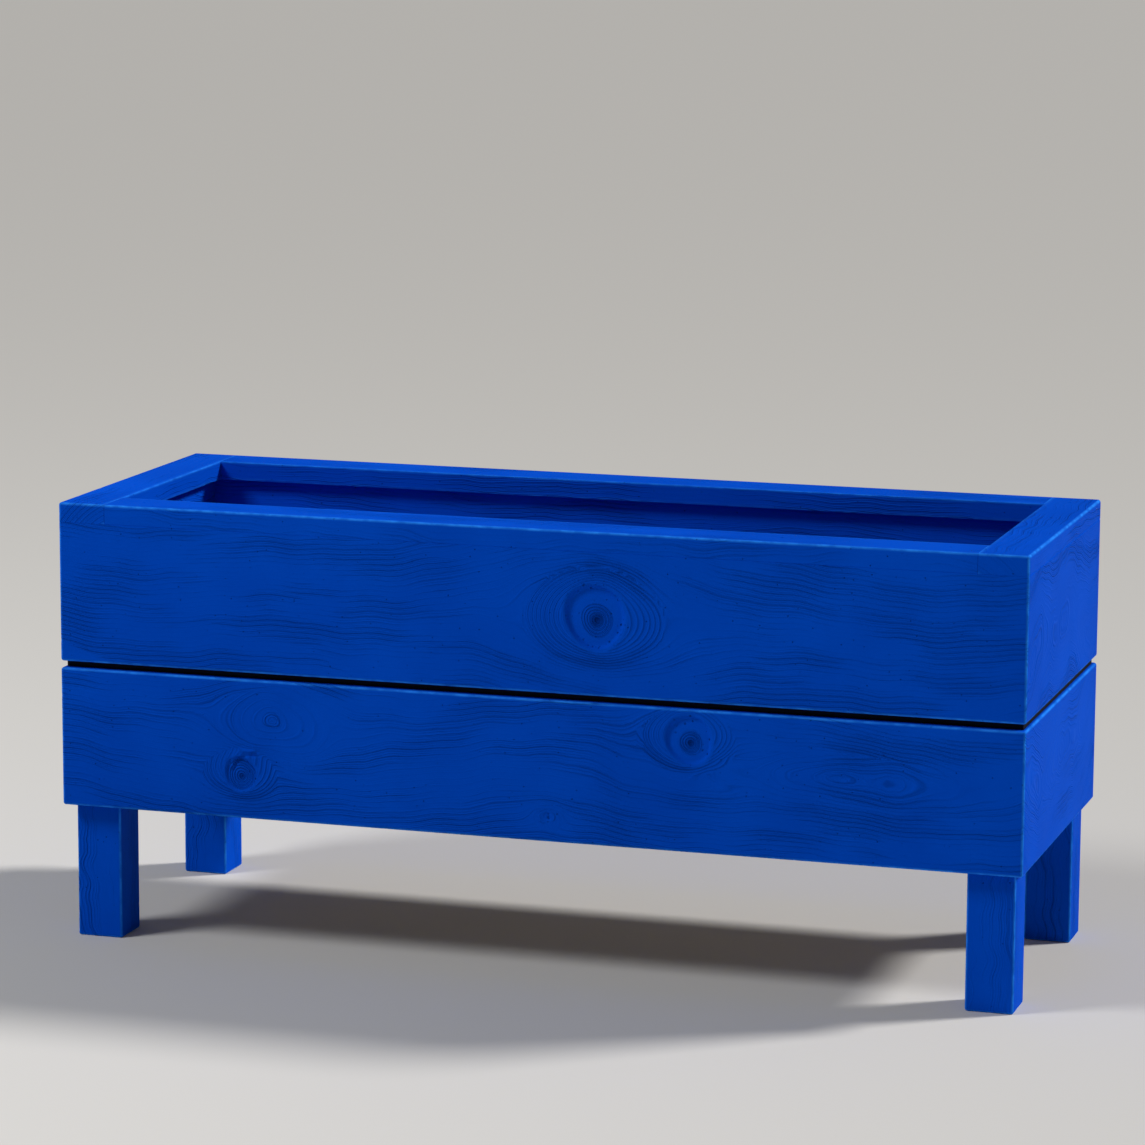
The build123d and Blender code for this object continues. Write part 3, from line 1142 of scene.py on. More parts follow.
class Finish(Nodes):
    """The start of a finish's shader, with the parts that the finishes share."""

    def __init__(self, name: str) -> None:
        """Makes an empty material with one shader.

        Args:
            name: The material's name.
        """
        self.material = bpy.data.materials.new(name)
        self.material.use_nodes = True
        super().__init__(self.material.node_tree)
        self.shader = self.tree.nodes["Principled BSDF"]

    def read(self, name: str) -> Socket:
        """The vector that a piece stores for each point under a name."""
        return self.add("ShaderNodeAttribute", attribute_name=name).outputs["Vector"]

    def place(self) -> Socket:
        """The place on the piece, in metres."""
        return self.add("ShaderNodeTexCoord").outputs["Object"]

    def phase(self, value: Socket, pitch: float) -> Socket:
        """How far a number is through its repeats, from 0 to 1."""
        return self.math("FRACT", self.math("DIVIDE", value, pitch))

    def drawn(self, along: Socket, ring: Socket, rates: tuple[float, float], layer: float = 0.0,
              detail: float = 2.0) -> Socket:
        """Noise that follows the grain.

        Args:
            along: The place along the grain.
            ring: The ring radius.
            rates: How quickly it changes along the grain and through the rings, by the metre.
            layer: Sets it apart from other noise of the same rates.
            detail: How fine its smallest marks are.

        Returns:
            From about 0 to 1.
        """
        spot = self.combine(self.times(along, rates[0]), self.times(ring, rates[1]), layer)
        return self.noise(spot, 1.0, detail)

    def noise(self, vector: Socket, scale: float, detail: float = 2.0,
              roughness: float = 0.5) -> Socket:
        """Noise from about 0 to 1."""
        return self.out("ShaderNodeTexNoise", {"Vector": vector, "Scale": scale, "Detail": detail,
                                               "Roughness": roughness})

    def mix(self, share: object, first: object, second: object) -> Socket:
        """A mix of two colours."""
        inputs = {0: share, 6: first, 7: second}
        return self.add("ShaderNodeMix", inputs, data_type="RGBA", clamp_factor=True).outputs[2]

    def ridge(self, value: Socket, middle: object, half: object) -> Socket:
        """A smooth ridge that is 1 at the middle and 0 further off than half."""
        off = self.math("ABSOLUTE", self.minus(value, middle))
        return self.rescale(off, 0.0, half, 1.0, 0.0)

    def pits(self, vector: Socket, scale: float, radius: float, share: float) -> Socket:
        """Scattered round pits.

        Args:
            vector: The place in metres.
            scale: How many cells there are to a metre.
            radius: A pit's radius as a share of a cell.
            share: How many of the cells have one.

        Returns:
            1 in a pit and 0 elsewhere.
        """
        cells = self.add("ShaderNodeTexVoronoi", {"Vector": vector, "Scale": scale})
        near = self.rescale(cells.outputs["Distance"], 0.35 * radius, radius, 1.0, 0.0)
        chosen = self.separate(cells.outputs["Color"])[0]
        return self.times(near, self.math("LESS_THAN", chosen, share))

    def raise_surface(self, height: Socket, distance: float) -> None:
        """Joins a height to the shader's normal."""
        bump = self.add("ShaderNodeBump", {"Height": height, "Distance": distance})
        self.tree.links.new(bump.outputs[0], self.shader.inputs["Normal"])

    def join(self, **sockets: Socket) -> None:
        """Joins what varies to the shader, with underscores for the spaces in its names."""
        for name, socket in sockets.items():
            self.tree.links.new(socket, self.shader.inputs[name.replace("_", " ")])


@dataclass(frozen=True)
class PaintedTimber:
    """Satin blue paint over softwood, thin enough that the growth rings stand through it, with
    painted shade beside the ring lines and in the pits, and a painted highlight on the edges.
    """

    blue: Colour = (0.0008, 0.079, 0.640, 1.0)
    deep: Colour = (0.0006, 0.068, 0.575, 1.0)
    shadow: Colour = (0.0003, 0.024, 0.21, 1.0)
    rubbed_highlight: Colour = (0.022, 0.25, 1.0, 1.0)
    sheen: float = 0.002
    sheen_tint: Colour = (0.12, 0.32, 1.0, 1.0)
    ring_pitch: float = 5.4 * MM
    fine_pitch: float = 1.9 * MM
    wavers: tuple[float, float] = (4.2 * MM, 1.5 * MM)  # how far the rings stray, slow and quick
    line: float = 0.13  # half of a ring line's width, as a share of the pitch
    bold_line: float = 0.22  # and how much more where it is bold
    relief: float = 1.0 * MM
    fine_rise: float = 0.48  # this and the next three are shares of the relief
    streak_rise: float = 0.22
    brushed_rise: float = 0.16
    pit_rise: float = -1.6

    def build(self) -> Material:
        """Builds the paint.

        Returns:
            The material.
        """
        f = Finish("blue_satin_paint")
        wear = f.add("ShaderNodeAttribute", attribute_name="wear").outputs["Fac"]
        pitted, dark, _ = f.separate(f.read("marks"))
        along, ring, strength = f.separate(f.read("grain"))
        place = f.place()
        slow, quick = self.wavers
        waver = f.times_plus(f.drawn(along, ring, (5.0, 32.0), detail=1.0), slow, ring)
        waver = f.times_plus(f.drawn(along, ring, (62.0, 150.0)), quick, waver)
        rings = f.phase(waver, self.ring_pitch)
        bold = f.minus(strength, 1.0, clamp=True)
        half = f.times_plus(bold, self.bold_line, self.line)
        lines = f.ridge(rings, 0.5, half)
        fine = f.ridge(f.phase(waver, self.fine_pitch), 0.5, 0.3)
        patches = f.drawn(along, ring, (5.5, 34.0), layer=7.0, detail=3.0)
        shown = f.math("ADD", f.rescale(patches, 0.42, 0.64, 0.08, 1.0), f.minus(strength, 1.0),
                       clamp=True)
        fine_shown = f.times(f.rescale(patches, 0.44, 0.62), f.math("MINIMUM", strength, 1.0))
        streaks = f.drawn(along, ring, (14.0, 900.0), layer=3.0, detail=3.0)
        pits = f.math("MAXIMUM", f.pits(place, 90.0, 0.085, 0.7), f.pits(place, 160.0, 0.1, 0.12))
        pits = f.math("MAXIMUM", pits, f.times(f.pits(place, 150.0, 0.26, 0.6), pitted))
        height = f.times(lines, shown)
        for mark, rise in ((f.times(fine, fine_shown), self.fine_rise),
                           (streaks, self.streak_rise),
                           (f.noise(place, 420.0), self.brushed_rise), (pits, self.pit_rise)):
            height = f.times_plus(mark, rise, height)
        # Painted shade: a dark band along one side of each raised ring line, where the relief would
        # throw shade.
        groove = f.times(f.ridge(rings, f.minus(0.47, half), f.times(half, 0.77)), shown)
        patchy = f.rescale(f.noise(place, 55.0, 3.0), 0.35, 0.68, 0.45, 1.0)
        colour = f.mix(f.rescale(f.noise(place, 7.0, 3.0), 0.3, 0.7), self.deep, self.blue)
        # Painted shade: the shadow colour darkens the band beside each ring line and the pits; it
        # also darkens the knots' eyes.
        for share, tone in (
                (f.times(f.rescale(streaks, 0.35, 0.75), 0.22), self.deep),
                (f.times(groove, f.times_plus(bold, 0.3, 0.35)), self.shadow),
                (f.math("MAXIMUM", f.times(pits, 0.85), dark), self.shadow),
                # Painted highlight: the lightest blue lightens the eased edges, partly as edge wear
                # and partly as a painted highlight.
                (f.times(wear, patchy), self.rubbed_highlight)):
            colour = f.mix(share, colour, tone)
        f.join(Base_Color=colour, Roughness=f.times_plus(streaks, 0.16, 0.36))
        f.raise_surface(height, self.relief)
        f.shader.inputs["Specular IOR Level"].default_value = self.sheen
        f.shader.inputs["Specular Tint"].default_value = self.sheen_tint
        return f.material


@dataclass(frozen=True)
class BareTimber:
    """Bare treated softwood, sawn and weathered a little."""

    early: Colour = (0.50, 0.40, 0.21, 1.0)
    late: Colour = (0.27, 0.185, 0.08, 1.0)
    weathered: Colour = (0.34, 0.31, 0.23, 1.0)
    ring_pitch: float = 4.2 * MM
    waver: float = 4.0 * MM
    relief: float = 0.35 * MM

    def build(self) -> Material:
        """Builds the bare timber.

        Returns:
            The material.
        """
        f = Finish("treated_softwood")
        along, ring, _ = f.separate(f.read("grain"))
        waver = f.times_plus(f.drawn(along, ring, (8.0, 60.0)), self.waver, ring)
        rings = f.phase(waver, self.ring_pitch)
        late = f.times(f.rescale(rings, 0.3, 0.95), f.rescale(rings, 0.95, 1.0, 1.0, 0.0))
        fibres = f.drawn(along, ring, (22.0, 1400.0), detail=3.0)
        sawn = f.drawn(along, ring, (420.0, 40.0), layer=5.0, detail=1.0)
        cloud = f.noise(f.place(), 9.0, 4.0)
        colour = f.mix(f.times(late, 0.8), self.early, self.late)
        colour = f.mix(f.times(f.rescale(fibres, 0.4, 0.8), 0.35), colour, self.late)
        colour = f.mix(f.rescale(cloud, 0.42, 0.72, 0.0, 0.7), colour, self.weathered)
        height = f.times_plus(fibres, 0.6, f.times(late, 0.5))
        f.join(Base_Color=colour, Roughness=f.times_plus(fibres, 0.2, 0.62))
        f.raise_surface(f.times_plus(sawn, 0.5, height), self.relief)
        return f.material


@dataclass(frozen=True)
class SpacerGapShade:
    """Near-black painted shade on the spacer strips, standing for the shade deep in the gap between
    the courses, with the grain faintly showing.
    """

    along_x: bool
    stain: Colour = (0.001, 0.002, 0.007, 1.0)
    thin: Colour = (0.003, 0.006, 0.022, 1.0)

    def build(self) -> Material:
        """Builds the near-black painted shade.

        Returns:
            The material.
        """
        f = Finish(f"dark_stain_{'long' if self.along_x else 'end'}")
        place = f.place()
        drawn = (12.0, 500.0, 700.0) if self.along_x else (500.0, 12.0, 700.0)
        stretched = f.vector("MULTIPLY", place, drawn)
        streaks = f.noise(stretched, 1.0, 4.0)
        colour = f.mix(f.rescale(streaks, 0.45, 0.8), self.stain, self.thin)
        f.join(Base_Color=colour, Roughness=f.times_plus(streaks, 0.2, 0.68))
        f.raise_surface(streaks, 0.2 * MM)
        f.shader.inputs["Specular IOR Level"].default_value = 0.1
        return f.material


@dataclass(frozen=True)
class BeechPeg:
    """Bare beech with its short dark flecks, on the dowels and loose tenons."""

    pale: Colour = (0.62, 0.43, 0.26, 1.0)
    fleck: Colour = (0.36, 0.20, 0.10, 1.0)

    def build(self) -> Material:
        """Builds the beech.

        Returns:
            The material.
        """
        f = Finish("bare_beech")
        place = f.place()
        streaks = f.noise(f.vector("MULTIPLY", place, (900.0, 900.0, 60.0)), 1.0, 3.0)
        flecks = f.pits(f.vector("MULTIPLY", place, (1.0, 1.0, 0.35)), 700.0, 0.35, 0.5)
        colour = f.mix(f.times(flecks, 0.6), self.pale, self.fleck)
        colour = f.mix(f.times(f.rescale(streaks, 0.4, 0.8), 0.35), colour, self.fleck)
        f.join(Base_Color=colour, Roughness=f.times_plus(streaks, 0.15, 0.5))
        f.raise_surface(streaks, 0.1 * MM)
        return f.material


@dataclass(frozen=True)
class PlatedSteel:
    """Plated steel: yellow passivated zinc on screws, or grey galvanising on nails."""

    name: str
    bright: Colour
    dull: Colour
    roughness: float

    def build(self) -> Material:
        """Builds the plating.

        Returns:
            The material.
        """
        f = Finish(self.name)
        place = f.place()
        cloud = f.noise(place, 260.0, 3.0)
        scratches = f.noise(f.vector("MULTIPLY", place, (2600.0, 2600.0, 500.0)), 1.0, 2.0)
        colour = f.mix(f.rescale(cloud, 0.4, 0.65), self.bright, self.dull)
        rough = f.times_plus(cloud, 0.22, self.roughness - 0.1)
        f.join(Base_Color=colour, Roughness=f.times_plus(scratches, 0.1, rough))
        f.raise_surface(scratches, 0.03 * MM)
        f.shader.inputs["Metallic"].default_value = 1.0
        return f.material


# ---------------------------------------------------------------------------------------------
# Geometry Nodes for what repeats


class Pattern(Nodes):
    """A Geometry Nodes tree with named inputs, run once to give a plain mesh."""

    def __init__(self, name: str) -> None:
        """Makes an empty tree that takes and gives geometry.

        Args:
            name: The tree's name.
        """
        super().__init__(bpy.data.node_groups.new(name, "GeometryNodeTree"))
        self.values: dict[str, object] = {}
        for way in ("OUTPUT", "INPUT"):
            self.tree.interface.new_socket("Geometry", in_out=way,
                                           socket_type="NodeSocketGeometry")
        self.group_in = self.add("NodeGroupInput")
        self.group_out = self.add("NodeGroupOutput")

    def size(self, name: str, value: object, kind: str = "NodeSocketFloat") -> Socket:
        """Adds a named input.

        Args:
            name: Its name.
            value: What it is set to.
            kind: The socket's type.

        Returns:
            The input inside the tree.
        """
        item = self.tree.interface.new_socket(name, in_out="INPUT", socket_type=kind)
        self.values[item.identifier] = value
        return self.group_in.outputs[name]

    def sizes(self, **values: float) -> list[Socket]:
        """Adds an input for each number, with underscores for the spaces in its name."""
        return [self.size(name.replace("_", " "), value) for name, value in values.items()]

    def position(self) -> Socket:
        """Each point's place."""
        return self.out("GeometryNodeInputPosition")

    def named(self, name: str) -> Socket:
        """A stored vector's value."""
        return self.out("GeometryNodeInputNamedAttribute", {"Name": name},
                        data_type="FLOAT_VECTOR")

    def keep(self, geometry: Socket, name: str, value: Socket, domain: str = "POINT") -> Socket:
        """The geometry, with a vector stored on it under a name."""
        inputs = {"Geometry": geometry, "Name": name, "Value": value}
        return self.out("GeometryNodeStoreNamedAttribute", inputs, data_type="FLOAT_VECTOR",
                        domain=domain)

    def chance(self, seed: Socket, low: Triple, high: Triple) -> Socket:
        """A random vector between two limits."""
        return self.out("FunctionNodeRandomValue", {"Min": low, "Max": high, "Seed": seed},
                        data_type="FLOAT_VECTOR")

    def realize(self, geometry: Socket, material: Material) -> Socket:
        """Ends the tree: instances made real, then the finish.

        Args:
            geometry: What the tree has made.
            material: The finish, which becomes a named input.

        Returns:
            The finished geometry.
        """
        finish = self.size("Finish", material, "NodeSocketMaterial")
        real = self.out("GeometryNodeRealizeInstances", {0: geometry})
        return self.out("GeometryNodeSetMaterial", {"Geometry": real, "Material": finish})

    def run(self, name: str, geometry: Socket, host: bpy.types.Mesh) -> Piece:
        """Runs the tree on a host mesh and keeps the result as a plain mesh.

        Args:
            name: The piece's name.
            geometry: What the tree gives.
            host: The mesh that the tree starts from.

        Returns:
            The finished piece.
        """
        self.tree.links.new(geometry, self.group_out.inputs[0])
        carrier = bpy.data.objects.new(f"{name}_host", host)
        bpy.context.scene.collection.objects.link(carrier)
        modifier = carrier.modifiers.new("pattern", "NODES")
        modifier.node_group = self.tree
        for identifier, value in self.values.items():
            modifier[identifier] = value
        bpy.context.view_layer.update()
        graph = bpy.context.evaluated_depsgraph_get()
        mesh = bpy.data.meshes.new_from_object(carrier.evaluated_get(graph),
                                               preserve_all_data_layers=True, depsgraph=graph)
        carrier.modifiers.remove(modifier)
        bpy.data.objects.remove(carrier)
        mesh.name = name
        piece = bpy.data.objects.new(name, mesh)
        bpy.context.scene.collection.objects.link(piece)
        return piece


@dataclass
class SlatRow:
    """The straight slats between the notched end ones, laid side by side."""

    material: Material
    arris: float = 2.0 * MM
    bow: float = 0.35 * MM
    bow_scale: float = 6.0  # waves to a metre
    askew: float = 0.0016  # how far a slat may lie turned, in radians
    shift: Triple = (9.0, 0.6, 0.0)  # how far one slat's grain may lie from the next one's
    heart_depth: float = 55 * MM
    wander: float = 6 * MM  # how far the heart strays, at the next number of radians a metre
    wander_rate: float = 14.0
    stations: int = 28
    outline_cuts: int = 9
    seed: int = 11
    first: str = "base_slat_02"
    second: str = "base_slat_03"
    count: int = 8

    def make(self) -> Piece:
        """Makes the row.

        Returns:
            All the straight slats as one mesh.
        """
        low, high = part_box(self.first)
        p = Pattern("slat_row")
        count = p.size("Count", self.count, "NodeSocketInt")
        seed = p.size("Seed", self.seed, "NodeSocketInt")
        first = p.size("First", tuple((low + high) / 2), "NodeSocketVector")
        pitch, bow = p.sizes(Pitch=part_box(self.second)[0].x - low.x, Bow=self.bow)
        line = p.out("GeometryNodeMeshLine", {"Count": count, "Start Location": first,
                                              "Offset": p.combine(pitch)}, mode="OFFSET")
        turn = p.chance(seed, (0.0, 0.0, -self.askew), (0.0, 0.0, self.askew))
        row = p.out("GeometryNodeInstanceOnPoints",
                    {"Points": line, "Instance": self.slat(p, high - low), "Rotation": turn})
        shift = p.chance(seed, (0.0, 0.0, 0.0), self.shift)
        row = p.keep(row, "slat_shift", shift, "INSTANCE")
        real = p.out("GeometryNodeRealizeInstances", {0: row})
        real = p.keep(real, "grain", p.vector("ADD", p.named("grain"), p.named("slat_shift")))
        wave = p.out("ShaderNodeTexNoise", {"Vector": p.position(), "Scale": self.bow_scale,
                                            "Detail": 1.0})
        rise = p.times(p.minus(wave, 0.5), bow)
        bowed = p.out("GeometryNodeSetPosition", {"Geometry": real,
                                                  "Offset": p.combine(0.0, 0.0, rise)})
        host = bpy.data.meshes.new("slat_row_host")
        return p.run("straight_slats", p.realize(bowed, self.material), host)

    def slat(self, p: Pattern, size: Vector) -> Socket:
        """One slat about its own middle, with eased long edges and its growth rings stored.

        Args:
            p: The tree.
            size: Its width, length and thickness.

        Returns:
            The slat.
        """
        width, length, thickness, arris = p.sizes(Width=size.x, Length=size.y, Thickness=size.z,
                                                  Arris=self.arris)
        outline = p.out("GeometryNodeCurvePrimitiveQuadrilateral", {"Width": width,
                                                                    "Height": thickness})
        eased = p.out("GeometryNodeFilletCurve", {"Curve": outline, "Count": 4, "Radius": arris},
                      mode="POLY")
        eased = p.out("GeometryNodeSubdivideCurve", {"Curve": eased, "Cuts": self.outline_cuts})
        ends = {"Start": p.combine(0.0, p.times(length, 0.5)),
                "End": p.combine(0.0, p.times(length, -0.5))}
        line = p.out("GeometryNodeResampleCurve", {
            "Curve": p.out("GeometryNodeCurvePrimitiveLine", ends), "Count": self.stations})
        bar = p.out("GeometryNodeCurveToMesh", {"Curve": line, "Profile Curve": eased,
                                                "Fill Caps": True})
        x, y, z = p.separate(p.position())
        heart = p.times(p.math("SINE", p.times(y, self.wander_rate)), self.wander)
        radius = p.vector("LENGTH", p.combine(p.minus(x, heart), 0.0,
                                              p.math("ADD", z, self.heart_depth)))
        return p.keep(bar, "grain", p.combine(y, radius, 1.0))


@dataclass
class Fixing:
    """Screws or nails of one kind, each driven in along its own direction."""

    name: str
    material: Material
    slot: Slot
    nodes: tuple[str, ...]
    length: float
    radius: float
    head_radius: float
    head_height: float
    thread: float  # height of the thread's ridge, 0 on a nail
    thread_pitch: float = 2.4 * MM
    recess: float = 0.0  # depth of the cross recess, 0 on a nail
    recess_blade: float = 1.1 * MM
    recess_reach: float = 1.3  # across the recess, as a multiple of the head's radius
    flat_head: bool = False
    segments: int = 14
    rows: int = 64
    spin: float = 0.83  # radians from one fixing's recess to the next one's
    thread_start: tuple[float, float] = (0.38, 0.42)  # where it fades in, as shares of the length
    crisp_angle: float = 35.0
    shank: float = 0.6  # the bare shank's radius, from the thread's root to its crest
    tip: float = 3.0  # the tip's length to the radius

    def host(self, places: list[Spot]) -> bpy.types.Mesh:
        """The mesh that the tree starts from.

        Args:
            places: Where the fixings go.

        Returns:
            One point for each fixing, which stores the way that its head faces.
        """
        mesh = bpy.data.meshes.new(f"{self.name}_places")
        mesh.from_pydata([tuple(place) for place, _ in places], [], [])
        facing = mesh.attributes.new("facing", "FLOAT_VECTOR", "POINT")
        facing.data.foreach_set("vector", [part for _, way in places for part in way])
        return mesh

    def make(self, places: list[Spot]) -> Piece:
        """Makes every fixing of this kind.

        Args:
            places: The middle of each head's face, and the way that it faces.

        Returns:
            The fixings as one mesh.
        """
        p = Pattern(self.name)
        body = self.turned_body(p)
        if self.recess:
            body = self.cut_recess(p, body)
        turned = p.out("FunctionNodeAlignRotationToVector", {"Vector": p.named("facing")}, axis="Z")
        spin = p.combine(0.0, 0.0, p.times(p.out("GeometryNodeInputIndex"), self.spin))
        spin = p.out("FunctionNodeEulerToRotation", {0: spin})
        turned = p.out("FunctionNodeRotateRotation", {"Rotation": turned, "Rotate By": spin},
                       rotation_space="LOCAL")
        driven = p.out("GeometryNodeInstanceOnPoints", {"Points": p.group_in.outputs[0],
                                                        "Instance": body, "Rotation": turned})
        piece = p.run(self.name, p.realize(driven, self.material), self.host(places))
        piece.data.shade_smooth()
        piece.data.set_sharp_from_angle(angle=math.radians(self.crisp_angle))
        return piece

    def turned_body(self, p: Pattern) -> Socket:
        """The body of revolution, with its thread, from a flat grid rolled round the Z axis.

        Args:
            p: The tree.

        Returns:
            One closed body with its head's face at the origin, pointing down.
        """
        length, radius, head, head_height, thread, pitch = p.sizes(
            Length=self.length, Radius=self.radius, Head_radius=self.head_radius,
            Head_height=self.head_height, Thread_height=self.thread,
            Thread_pitch=self.thread_pitch)
        grid = p.out("GeometryNodeMeshGrid", {"Size X": 1.0, "Size Y": 1.0,
                                              "Vertices X": self.segments + 1,
                                              "Vertices Y": self.rows})
        u, v, _ = p.separate(p.position())
        row = p.times(p.math("ADD", v, 0.5), self.rows - 1.0)
        angle = p.times(u, -2 * math.pi)
        share = p.math("DIVIDE", p.minus(row, 1.0), self.rows - 2.0, clamp=True)
        depth = p.times(share, length)
        if self.flat_head:
            flare = p.math("LESS_THAN", depth, head_height)
        else:
            flare = p.minus(1.0, p.math("DIVIDE", depth, head_height), clamp=True)
        wide = p.times(flare, p.minus(head, radius))
        helix = p.math("ADD", p.math("DIVIDE", depth, pitch), u)
        crest = p.rescale(p.math("PINGPONG", helix, 0.5), 0.22, 0.5)
        threaded = p.rescale(depth, *(self.length * share for share in self.thread_start))
        ridge = p.times(thread, p.times(crest, threaded))
        ridge = p.times_plus(p.times(p.minus(1.0, threaded), self.shank), thread, ridge)
        body = p.math("ADD", p.minus(radius, thread), p.math("ADD", ridge, wide))
        taper = p.math("DIVIDE", p.minus(length, depth), p.times(radius, self.tip), clamp=True)
        body = p.times(p.times(body, taper), p.math("GREATER_THAN", row, 0.5))
        place = p.combine(p.times(body, p.math("COSINE", angle)),
                          p.times(body, p.math("SINE", angle)), p.times(depth, -1.0))
        rolled = p.out("GeometryNodeSetPosition", {"Geometry": grid, "Position": place})
        return p.out("GeometryNodeMergeByDistance", {"Geometry": rolled, "Distance": 0.01 * MM})

    def cut_recess(self, p: Pattern, body: Socket) -> Socket:
        """Sinks the cross recess in the head.

        Args:
            p: The tree.
            body: The body without it.

        Returns:
            The body with it.
        """
        deep, blade, reach = p.sizes(Recess_depth=self.recess, Recess_blade=self.recess_blade,
                                     Recess_reach=self.recess_reach * self.head_radius)
        twice = p.times(deep, 2.0)
        for size in (p.combine(reach, blade, twice), p.combine(blade, reach, twice)):
            cutter = p.out("GeometryNodeMeshCube", {"Size": size})
            body = p.out("GeometryNodeMeshBoolean", {"Mesh 1": body, "Mesh 2": cutter},
                         operation="DIFFERENCE", solver="EXACT")
        return body


@dataclass
class Fixings:
    """Where every screw and nail is driven, worked out from the pieces that they hold."""

    cap: CapFrame
    slat_count: int
    along_heights: tuple[float, ...] = (0.068, 0.104)  # above a post's shoulder, along X
    across_heights: tuple[float, ...] = (0.086, 0.118)  # and along Y
    bearer_places: tuple[float, ...] = (-0.44, -0.22, 0.0, 0.22, 0.44)
    slat_spread: float = 25 * MM
    punch: float = 1.2 * MM

    def frame_screws(self) -> list[Spot]:
        """The screws through the posts' tops and the bearers into the planks.

        Returns:
            Their places.
        """
        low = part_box("back_right_leg")[0]
        plank_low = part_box("back_plank_lower")[0]
        inner_x = self.cap.box.half_length - self.cap.box.thickness
        middle_x, middle_y = (low.x + inner_x) / 2, (low.y + plank_low.y) / 2
        bearer_low, bearer_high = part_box("back_bearer")
        bearer_z = (bearer_low.z + bearer_high.z) / 2
        up = Vector((0, 0, plank_low.z))
        places = []
        for x, y in itertools.product(ENDS, repeat=2):
            places += [(up + Vector((x * low.x, y * middle_y, height)), Vector((-x, 0, 0)))
                       for height in self.along_heights]
            places += [(up + Vector((x * middle_x, y * low.y, height)), Vector((0, -y, 0)))
                       for height in self.across_heights]
        places += [(Vector((along, y * bearer_low.y, bearer_z)), Vector((0, -y, 0)))
                   for y in ENDS for along in self.bearer_places]
        return places

    def slat_screws(self) -> list[Spot]:
        """Two screws through each end of each slat into the bearers.

        Returns:
            Their places.
        """
        bearer_low, bearer_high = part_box("back_bearer")
        middle_y = (bearer_low.y + bearer_high.y) / 2
        places = []
        for number in range(1, self.slat_count + 1):
            low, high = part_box(f"base_slat_{number:02d}")
            for offset, y in itertools.product((-self.slat_spread, self.slat_spread), ENDS):
                spot = Vector(((low.x + high.x) / 2 + offset, y * middle_y, high.z))
                places.append((spot, Vector((0, 0, 1))))
        return places

    def cap_nails(self) -> list[Spot]:
        """The nails punched under the cap's top.

        Returns:
            Their places.
        """
        places = []
        for side in Side:
            x, y = side.value
            for along in self.cap.nail_places(side):
                half = self.cap.box.half_length if x else self.cap.box.half_width
                out = half - self.cap.nail_inset
                spot = (x * out, along) if x else (along, y * out)
                places.append((Vector((*spot, self.cap.top - self.punch)), Vector((0, 0, 1))))
        return places


# ---------------------------------------------------------------------------------------------
# Camera, light and floor


@dataclass(frozen=True)
class Studio:
    """A pale floor under soft light, and the camera."""

    eye: Triple = (1.5556, -5.0591, 1.3768)
    yaw: float = 17.2233  # degrees to the left of +Y
    pitch: float = 9.8796  # degrees down
    roll: float = 0.2904
    lens: float = 137.87
    sensor: float = 36.0
    sight: float = 400.0  # how far the camera sees, past the floor's end
    key_colour: Triple = (1.0, 0.965, 0.92)
    sun_way: Triple = (1.1, 0.69, 1.0)
    sun_strength: float = 3.1
    sun_angle: float = 10.0
    sky: Colour = (0.86, 0.89, 0.93, 1.0)
    sky_strength: float = 0.13
    fill_place: Triple = (-3.0, -2.4, 4.0)
    fill_size: float = 1.6
    fill_power: float = 126.0
    fill_aim: Triple = (0.0, 0.0, 0.3)
    floor_colour: Colour = (0.64, 0.635, 0.62, 1.0)
    floor_size: float = 160.0
    floor_roughness: float = 0.85

    def camera_axes(self) -> Matrix:
        """The camera's axes, from its angles.

        Returns:
            A matrix with the axes as its columns.
        """
        yaw, pitch, roll = (math.radians(angle) for angle in (self.yaw, self.pitch, self.roll))
        ahead = Vector((-math.sin(yaw) * math.cos(pitch), math.cos(yaw) * math.cos(pitch),
                        -math.sin(pitch)))
        level = Vector((math.cos(yaw), math.sin(yaw), 0.0))
        above = level.cross(ahead)
        right = level * math.cos(roll) + above * math.sin(roll)
        up = above * math.cos(roll) - level * math.sin(roll)
        return Matrix((right, up, -ahead)).transposed()

    def set_camera(self) -> None:
        """Makes the camera."""
        data = bpy.data.cameras.new("camera")
        data.lens, data.sensor_width = self.lens, self.sensor
        data.clip_end = self.sight
        camera = bpy.data.objects.new("camera", data)
        camera.matrix_world = Matrix.Translation(self.eye) @ self.camera_axes().to_4x4()
        bpy.context.scene.collection.objects.link(camera)
        bpy.context.scene.camera = camera

    def set_light(self) -> None:
        """Makes the soft key light, the front fill and the sky."""
        scene = bpy.context.scene
        key = bpy.data.lights.new("key", "SUN")
        key.energy, key.angle = self.sun_strength, math.radians(self.sun_angle)
        key.color = self.key_colour
        sun = bpy.data.objects.new("key", key)
        sun.rotation_euler = Vector(self.sun_way).to_track_quat("Z", "Y").to_euler()
        fill = bpy.data.lights.new("fill", "AREA")
        fill.shape, fill.size, fill.energy = "DISK", self.fill_size, self.fill_power
        lamp = bpy.data.objects.new("fill", fill)
        lamp.location = self.fill_place
        away = Vector(self.fill_place) - Vector(self.fill_aim)
        lamp.rotation_euler = away.to_track_quat("Z", "Y").to_euler()
        for light in (sun, lamp):
            scene.collection.objects.link(light)
        scene.world = bpy.data.worlds.new("studio")
        scene.world.use_nodes = True
        backdrop = scene.world.node_tree.nodes["Background"]
        backdrop.inputs["Color"].default_value = self.sky
        backdrop.inputs["Strength"].default_value = self.sky_strength
        scene.view_settings.view_transform = "Standard"

    def lay_floor(self) -> None:
        """Makes the floor, which isn't part of the planter."""
        half = self.floor_size / 2
        corners = half * np.array([(-1, -1, 0), (1, -1, 0), (1, 1, 0), (-1, 1, 0)])
        floor = make_object("floor", corners, np.array([[0, 1, 2, 3]]))
        finish = Finish("pale_floor")
        finish.shader.inputs["Base Color"].default_value = self.floor_colour
        finish.shader.inputs["Roughness"].default_value = self.floor_roughness
        floor.data.materials.append(finish.material)


# ---------------------------------------------------------------------------------------------
# The planter


